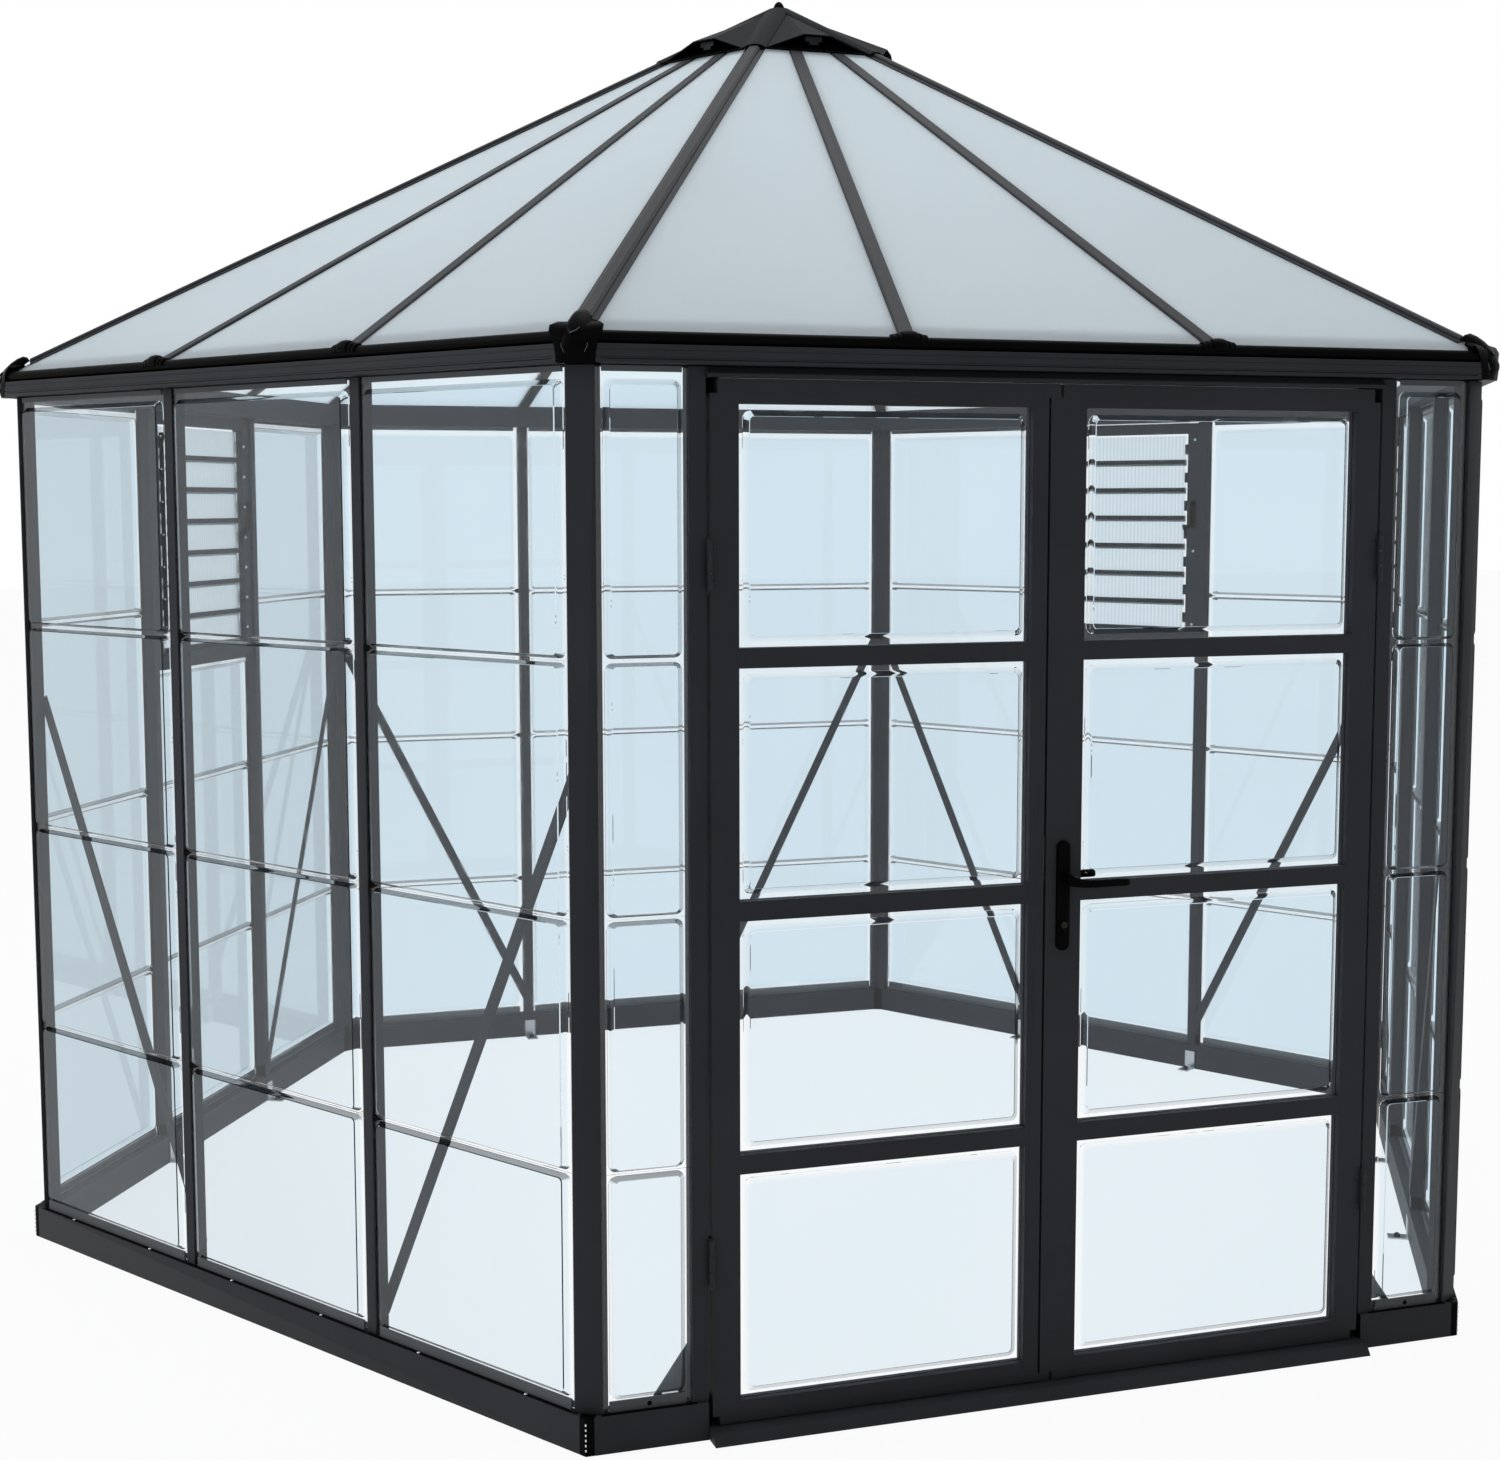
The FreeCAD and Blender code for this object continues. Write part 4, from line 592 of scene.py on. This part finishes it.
def vent_cap():
    # Moulded cover: round ridges over the hips, a flat hood between them over each vent mouth
    shape, lip, tongues = bmesh.new(), bmesh.new(), bmesh.new()
    crown, slope, rim = 2763.27, math.tan(math.radians(30)), 259.8
    half, meet, last = 27.0, 46.77, 284.4
    slice_count = 12
    tip = Vector((0, 0, 2.7556))
    hood_z, hood_half, mouth_z, mouth_half = 2647, 31, 2611.2, 121
    floor_crown, floor = 2760.1, [(-117, 257), (117, 257), (24, 95), (-24, 95)]

    def ridge_height(r, q):
        return crown - 0.5 * r + 2.6 - 9 * (abs(q) / half) ** 2.2

    def plane_height(a):
        return crown - slope * a

    stations = [22, 26, 32, 39, meet] + [meet + (last - meet) * k / 10 for k in range(1, 11)] + [292]
    edges = {}
    for corner in range(6):
        rows = []
        for r in stations:
            wide = min(half, r * math.tan(math.radians(30)))
            row = []
            for k in range(slice_count + 1):
                q = wide * (2 * k / slice_count - 1)
                row.append(on_wall(corner + 0.5, q, r, ridge_height(r, q)))
            if r >= meet:
                low = plane_height(r * math.cos(math.radians(30)) + half / 2)
                row.insert(0, on_wall(corner + 0.5, -half, r, low))
                row.append(on_wall(corner + 0.5, half, r, low))
            else:
                row.insert(0, row[0])
                row.append(row[-1])
            rows.append(row)
        skins = [[shape.verts.new(point) for point in row] for row in rows]
        for low, high in zip(skins, skins[1:]):
            for k in range(len(low) - 1):
                shape.faces.new((low[k], low[k + 1], high[k + 1], high[k]))
        centre = shape.verts.new(tip)
        for k in range(len(skins[0]) - 1):
            shape.faces.new((centre, skins[0][k + 1], skins[0][k]))
        edges[corner] = rows[4:-1]
        # Painted shade: a black bead along the cap's rim stands for its shaded downward edge
        tube(lip, [point - Vector((0, 0, 0.0022)) for point in rows[-1][1:-1]], 2.6)
    for wall in range(6):
        hood = [on_wall(wall, s, rim, hood_z) for s in (-hood_half, hood_half)]
        left = [row[-1] for row in edges[(wall - 1) % 6]]
        right = [row[0] for row in edges[wall]]
        for outline in (left + [hood[0]], right + [hood[1]], [left[0], hood[0], hood[1]]):
            shape.faces.new([shape.verts.new(point) for point in outline])
        # Painted shade: a black bead along each vent mouth's lower edge
        tube(lip, [on_wall(wall, s, rim - 1, mouth_z) for s in (-mouth_half, 0, mouth_half)], 2.8)
        rings = []
        for rise in (0.2, 1.7):
            rings.append([on_wall(wall, s, a, floor_crown - slope * a + rise) for s, a in floor])
        loft(lip, rings)
        tongue = facing(wall, -3, 243, 2641)
        slab(tongues, tongue, (-20, 20, -7, 4), 0, 2, 1, 0.5)
        slab(tongues, tongue, (-10, 12, -14, -5), 0.3, 2.3, 1, 0.5)
    bmesh.ops.remove_doubles(shape, verts=shape.verts, dist=0.00002)
    bmesh.ops.recalc_face_normals(shape, faces=shape.faces)
    bmesh.ops.solidify(shape, geom=shape.faces[:], thickness=0.0024)
    piece(shape, "moulded_vent_cap", cap_plastic, stands_for=["apex_cap"], sharp=14.0)
    piece(lip, "cap_rim_shade_beads_and_vent_floors", plastic)
    piece(tongues, "vent_tongues", powder)


def cap_finial():
    shape = bmesh.new()
    base = 2755.07
    profile = [(14, -3), (13.4, 1), (12.2, 4.5), (11, 7.5), (9.4, 10.6), (7.2, 13.4), (4.8, 15.4),
               (2.4, 16.6), (0.5, 17)]
    lathe(shape, upright(0, z=base), profile, 28)
    piece(shape, "turned_finial", plastic, stands_for=["apex_finial"])


# Door hinges and furniture
def hinge_barrel(shape, side, low, high):
    radius, tip = 5, 0.7
    profile = [(radius - tip, low), (radius, low + tip), (radius, high - tip), (radius - tip, high)]
    lathe(shape, upright(0, side * hinge_s, hinge_a), profile, 24)


def hinge_plate(shape, side, near, far, face, low, high):
    box = (min(side * near, side * far), max(side * near, side * far), 1481, face)
    slab(shape, upright(0), box, low, high, 0.4, 0.3)


def door_hinges():
    # Two knuckles on the jamb, one between them on the leaf
    fixed = bmesh.new()
    height, gap = 83, 0.4
    third = height / 3
    pin_cap = [(3.9, 0), (3.9, 1.2), (2.6, 2.4), (0.5, 2.8)]
    head = [(3.4, 0), (3.2, 0.8), (2.0, 1.6), (0.4, 1.9)]
    for side, name in ((-1, "left"), (1, "right")):
        moving = bmesh.new()
        for centre in hinge_heights:
            low = centre - height / 2
            high = centre + height / 2
            knuckle = (low + third + gap, high - third - gap)
            hinge_plate(fixed, side, 646.7, 649, 1500, low, high)
            hinge_plate(moving, side, 643, 645.3, leaf_front, low, high)
            hinge_plate(moving, side, 643, 645.3, 1508, *knuckle)
            hinge_barrel(fixed, side, low, low + third)
            hinge_barrel(fixed, side, high - third, high)
            hinge_barrel(moving, side, *knuckle)
            for start, way in ((low, -1), (high, 1)):
                cap = [(radius, start + way * h) for radius, h in pin_cap]
                lathe(fixed, upright(0, side * hinge_s, hinge_a), cap, 16)
            for rise in (-28, 28):
                lathe(moving, facing(0, side * 636.5, leaf_front, centre + rise), head, 14)
        piece(moving, f"{name}_hinge_leaves", powder, f"{name}_door", [f"{name}_hinge_plates"])
    piece(fixed, "jamb_hinge_leaves", powder, stands_for=["hinge_jamb_plates"])


def on_leaf(base, way, z):
    # Heights of a shape point out of a face of the right leaf, on the handle's upright line
    return lambda x, y, h: on_wall(0, handle_s + x, base + way * h, z + y)


def stadium_plate(shape, base, way):
    x0, x1, z0, z1 = -1.6, 23.6, 815, 1013
    radius = 12.6
    rings = []
    for inset, rise in ((0, 0), (0, 4.6), (0.5, 6.2), (1.6, 7.4), (3.2, 8)):
        outline = rounded(x0 + inset, x1 - inset, z0 + inset, z1 - inset, radius - inset - 0.05, 10)
        rings.append([on_wall(0, x, base + way * rise, z) for x, z in outline])
    loft(shape, rings)


def bent_lever(shape, base, way, length):
    # Collar, round neck, then a grip that bends over and runs along the leaf, a little lower than the neck
    neck = [(10.6, 8.2), (10.6, 11), (10.0, 12), (9.4, 12.6), (9.0, 15), (8.8, 30)]
    lathe(shape, on_leaf(base, way, handle_z), neck, 20)
    end = handle_s + length
    # Along the grip: place on the leaf and out of it, drop, way across, half depth, half height
    path = [((handle_s, 26), 0, (1, 0.15), 7.6, 8.6), ((11.5, 32), -1, (1, 0.4), 7.4, 8.8),
            ((14, 37.2), -2.5, (0.7, 0.7), 7.0, 8.8), ((19, 40.2), -4, (0.25, 1), 6.6, 8.4),
            ((27, 40.75), -6, (0, 1), 6.2, 7.6), ((45, 40.75), -8, (0, 1), 5.8, 6.9),
            ((end - 9, 40.75), -8, (0, 1), 5.8, 6.8), ((end - 2, 40.75), -8, (0, 1), 5.5, 6.5),
            ((end, 40.75), -8, (0, 1), 4.4, 5.4)]
    rings = []
    for (s, h), drop, (across_s, across_a), deep, tall in path:
        size = math.hypot(across_s, across_a)
        ring = []
        for u, v in rounded(-deep, deep, -tall, tall, 3.2, 4):
            a = base + way * (h + u * across_a / size)
            ring.append(on_wall(0, s - u * across_s / size, a, handle_z + drop + v))
        rings.append(ring)
    loft(shape, rings)


def lock_face(shape, base, way):
    # Keyhole-shaped end of the lock barrel
    place = on_leaf(base, way, lock_z)
    radius, steps = 9, 24
    outline = []
    for step in range(steps + 1):
        angle = math.radians(-60 + 300 * step / steps)
        outline.append((radius * math.cos(angle), radius * math.sin(angle)))
    outline += [(-4.5, -15), (-3, -17.5), (0, -18.3), (3, -17.5), (4.5, -15)]
    rings = []
    for share, rise in ((1, 7), (1, 9.4), (0.95, 10)):
        rings.append([place(share * x, share * y, rise) for x, y in outline])
    loft(shape, rings)


def door_furniture():
    plates, levers, barrel, plug = bmesh.new(), bmesh.new(), bmesh.new(), bmesh.new()
    face = [(6, 9.6), (6, 10.6), (5.4, 11), (2.2, 11), (1.8, 10.4)]
    head = [(3.6, 7.2), (3.6, 8.6), (2.6, 9.3), (0.5, 9.4)]
    for base, way, length in ((leaf_front, 1, 110), (leaf_back, -1, 97)):
        stadium_plate(plates, base, way)
        bent_lever(levers, base, way, length)
        lock_face(barrel, base, way)
        lathe(plug, on_leaf(base, way, lock_z), face, 20)
        for rise in (51, -117):
            lathe(plates, on_leaf(base, way, handle_z + rise), head, 16)
    piece(plates, "long_handle_plates", plastic, "right_door", ["handle_plates"])
    piece(levers, "bent_handle_levers", plastic, "handle", ["handle_levers"])
    piece(barrel, "lock_barrel_faces", plastic, "right_door", ["lock_cylinder"])
    piece(plug, "lock_plug_faces", brass, "lock_key_plug", ["lock_plug"])


door_hinges()
door_furniture()


# Small fixings
def jamb_block(shape, side, low, high):
    s0, s1 = sorted((side * 618, side * 650.8))
    slab(shape, upright(0), (s0, s1, 1464, 1476.5), low, high, 1, 0.6)


def base_fixings():
    screws, shade_strips, feet, beads = bmesh.new(), bmesh.new(), bmesh.new(), bmesh.new()
    run_end, jamb_edge, strip_top, bead_pitch = 842, bay_edges["door"][0], 68.2, 9
    for wall in range(6):
        runs = [(-run_end, run_end)] if wall else [(jamb_edge, run_end), (-run_end, -jamb_edge)]
        for left, right in runs:
            # Painted shade: a black strip on the base top where the gap under each sill bar lies in shadow
            slab(shade_strips, upright(wall), (left, right, 1497.8, 1506.2), 67, strip_top, 0.5, 0.3)
        if wall:
            for place in (-716.7, -430, -143.3, 143.3, 430, 716.7):
                dome(screws, upright(wall, place, 1502.6, strip_top), 3.4, 1.8)
            for place in post_places:
                for way in (-1, 1):
                    s0, s1 = sorted((place + way * 4.6, place + way * 13.4))
                    slab(feet, upright(wall), (s0, s1, 1467, 1489.8), 68, 97, 1.5, 1.2)
        # Painted glint: bright steel dashes down each base corner's nose
        for number in range(1, 7):
            low = bead_pitch * number
            slab(beads, upright(wall + 0.5), (-1.2, 1.2, 1739.4, 1741.2), low, low + 4, 0.4, 0.3)
    for side, post in zip((-1, 1), post_places):
        dome(feet, facing(0, side * 755, 1497.6, 76.5), 4.2, 2.2)
        jamb_block(feet, side, 20.2, 66.8)
        for wall in range(1, 6):
            dome(feet, upright(wall, post, 1440, 3), 7, 8)
    piece(screws, "base_screws", bright)
    piece(shade_strips, "sill_shade_strips", plastic)
    piece(feet, "post_foot_blocks", plastic)
    piece(beads, "base_corner_glint_beads", bright)


def row_clips():
    # Small arrow-shaped clips that hold the pan joints at the wall posts; the clip on the −s side of each
    # post is bright steel, a painted reflection on the black clip
    dark, light = bmesh.new(), bmesh.new()
    outline = [(13.8, -6.5), (13.8, 6.5), (22, 5.5), (25, 2), (36, 0.4), (36, -0.4), (25, -2), (22, -5.5)]
    for wall in range(1, 6):
        levels = louvre_levels[1:3] if wall in louvre_walls.values() else row_levels[1:4]
        for post in post_places:
            for z in row_levels[1:4]:
                for way in (-1, 1):
                    inner = way * post < 0
                    if inner and z not in levels:
                        continue
                    rings = []
                    for a, share in ((1493.7, 1), (1495.6, 0.96), (1496.6, 0.8)):
                        ring = [on_wall(wall, post + way * s, a, z + share * h) for s, h in outline]
                        rings.append(ring)
                    # Painted reflection: clips on the −s side are drawn in bright steel, those on the +s
                    # side in black plastic
                    loft(dark if way > 0 else light, rings)
    piece(dark, "pan_joint_clips", plastic)
    piece(light, "pan_joint_clip_glints", bright)


def louvre_fixings():
    # Screws on the frames' inner faces, rivets where the cranks meet the links
    inner_face, link_face, crank = 1474, 227.6, 14.14
    pivots = [slat_top - slat_pitch * number for number in range(slat_count)]
    screw_rows = {"left": (-247, pivots), "right": (-262, [1784, 1474, 1268])}
    for side, wall in louvre_walls.items():
        screws = bmesh.new()
        place, heights = screw_rows[side]
        for z in heights:
            dome(screws, lambda x, y, h: on_wall(wall, place + x, inner_face - h, z + y), 4.0, 3.0)
        piece(screws, f"{side}_louvre_screws", bright)
        rivets = bmesh.new()
        for pivot in pivots:
            dome(rivets, lengthwise(wall, link_face, slat_a - crank, pivot + crank), 2.6, 1.4)
        piece(rivets, f"{side}_link_rivets", bright, f"{side}_louvre_link")


def gap_shade_strip():
    # Black strip on the left leaf's meeting edge, filling the back of the gap between the leaves: painted
    # shade of the gap
    shape = bmesh.new()
    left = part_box("left_leaf_frame")[1].x * 1000
    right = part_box("right_leaf_frame")[0].x * 1000
    slab(shape, upright(0), (left - 0.2, right - 1.2, 1480, 1496), 24, 1813, 0.5, 0.3)
    piece(shape, "meeting_edge_shade_strip", plastic, "left_door")


def door_head_stops():
    # Blocks in the jambs behind the leaves' upper hinge corners, under the header
    shape = bmesh.new()
    for side in (-1, 1):
        jamb_block(shape, side, 1784, 1815.8)
    piece(shape, "door_head_stops", plastic)


def gutter_rib_shade_lines():
    # Fine black line along each gutter's face: painted shade below the gutter's rib
    shape = bmesh.new()
    for wall in range(6):
        slab(shape, upright(wall), (-834, 834, 1526.2, 1527.2), 1841, 1842.2, 0.3, 0.2)
    piece(shape, "gutter_rib_shade_lines", plastic)


eave_rolls()
eave_clips()
corner_hoods()
vent_cap()
cap_finial()
base_fixings()
row_clips()
louvre_fixings()
gap_shade_strip()
door_head_stops()
gutter_rib_shade_lines()


# Floor, light and camera
def white_to_sight(tree, share):
    # Rays of sight meet plain white, mixed with the lit surface so that its shadow stays
    path = add(tree, "ShaderNodeLightPath")
    total = path.outputs["Is Camera Ray"]
    for ray in ("Is Glossy Ray", "Is Transmission Ray"):
        total = maths(tree, "MAXIMUM", total, path.outputs[ray])
    return maths(tree, "MULTIPLY", total, share)


def studio_floor():
    mesh = bpy.data.meshes.new("studio_floor")
    shape = bmesh.new()
    bmesh.ops.create_grid(shape, x_segments=1, y_segments=1, size=40.0)
    shape.to_mesh(mesh)
    shape.free()
    floor = bpy.data.objects.new("studio_floor", mesh)
    floor.location.z = -0.001
    scene.collection.objects.link(floor)
    mat, tree, shader = new_material("pale_floor")
    shader.inputs["Base Color"].default_value = (0.86, 0.86, 0.86, 1)
    shader.inputs["Roughness"].default_value = 0.9
    glow = add(tree, "ShaderNodeEmission")
    mix = add(tree, "ShaderNodeMixShader")
    tree.links.new(white_to_sight(tree, 0.94), mix.inputs["Fac"])
    tree.links.new(shader.outputs["BSDF"], mix.inputs[1])
    tree.links.new(glow.outputs["Emission"], mix.inputs[2])
    tree.links.new(mix.outputs["Shader"], tree.nodes["Material Output"].inputs["Surface"])
    mesh.materials.append(mat)


def studio_world():
    # Bright behind, beside and above, dim towards the front; plain white to the eye
    world = bpy.data.worlds.new("studio")
    scene.world = world
    world.use_nodes = True
    tree = world.node_tree
    soft = tree.nodes["Background"]
    front = add(tree, "ShaderNodeSeparateXYZ")
    tree.links.new(add(tree, "ShaderNodeTexCoord").outputs["Generated"], front.inputs["Vector"])
    back = spread(tree, front.outputs["Y"], 0, 1, -0.75, 0.35)
    tone = ramp(tree, back, [(0.0, (0.135, 0.14, 0.145)), (1.0, (0.80, 0.83, 0.86))])
    tree.links.new(tone, soft.inputs["Color"])
    soft.inputs["Strength"].default_value = 0.85
    white = add(tree, "ShaderNodeBackground")
    white.inputs["Color"].default_value = (1, 1, 1, 1)
    white.inputs["Strength"].default_value = 1.0
    mix = add(tree, "ShaderNodeMixShader")
    tree.links.new(white_to_sight(tree, 1.0), mix.inputs["Fac"])
    tree.links.new(soft.outputs["Background"], mix.inputs[1])
    tree.links.new(white.outputs["Background"], mix.inputs[2])
    tree.links.new(mix.outputs["Shader"], tree.nodes["World Output"].inputs["Surface"])


def area_light(name, place, target, size, power):
    data = bpy.data.lights.new(name, "AREA")
    data.shape = "DISK"
    data.size = size
    data.energy = power
    lamp = bpy.data.objects.new(name, data)
    lamp.location = place
    lamp.rotation_euler = (Vector(target) - Vector(place)).to_track_quat("-Z", "Y").to_euler()
    scene.collection.objects.link(lamp)


studio_floor()
studio_world()
area_light("key", place=(-7.5, 0.5, 5.0), target=(0, 0, 1.2), size=4.0, power=98)
area_light("top", place=(0.8, 0.2, 7.5), target=(0, 0, 1.5), size=5.0, power=150)

camera_turn = (84.184, 0.077, -18.436)
camera_data = bpy.data.cameras.new("view")
camera_data.sensor_width = 36.0
camera_data.lens = 53.37
camera = bpy.data.objects.new("view", camera_data)
camera.location = (-1.7509, -5.0351, 1.6084)
camera.rotation_euler = [math.radians(angle) for angle in camera_turn]
scene.collection.objects.link(camera)
scene.camera = camera
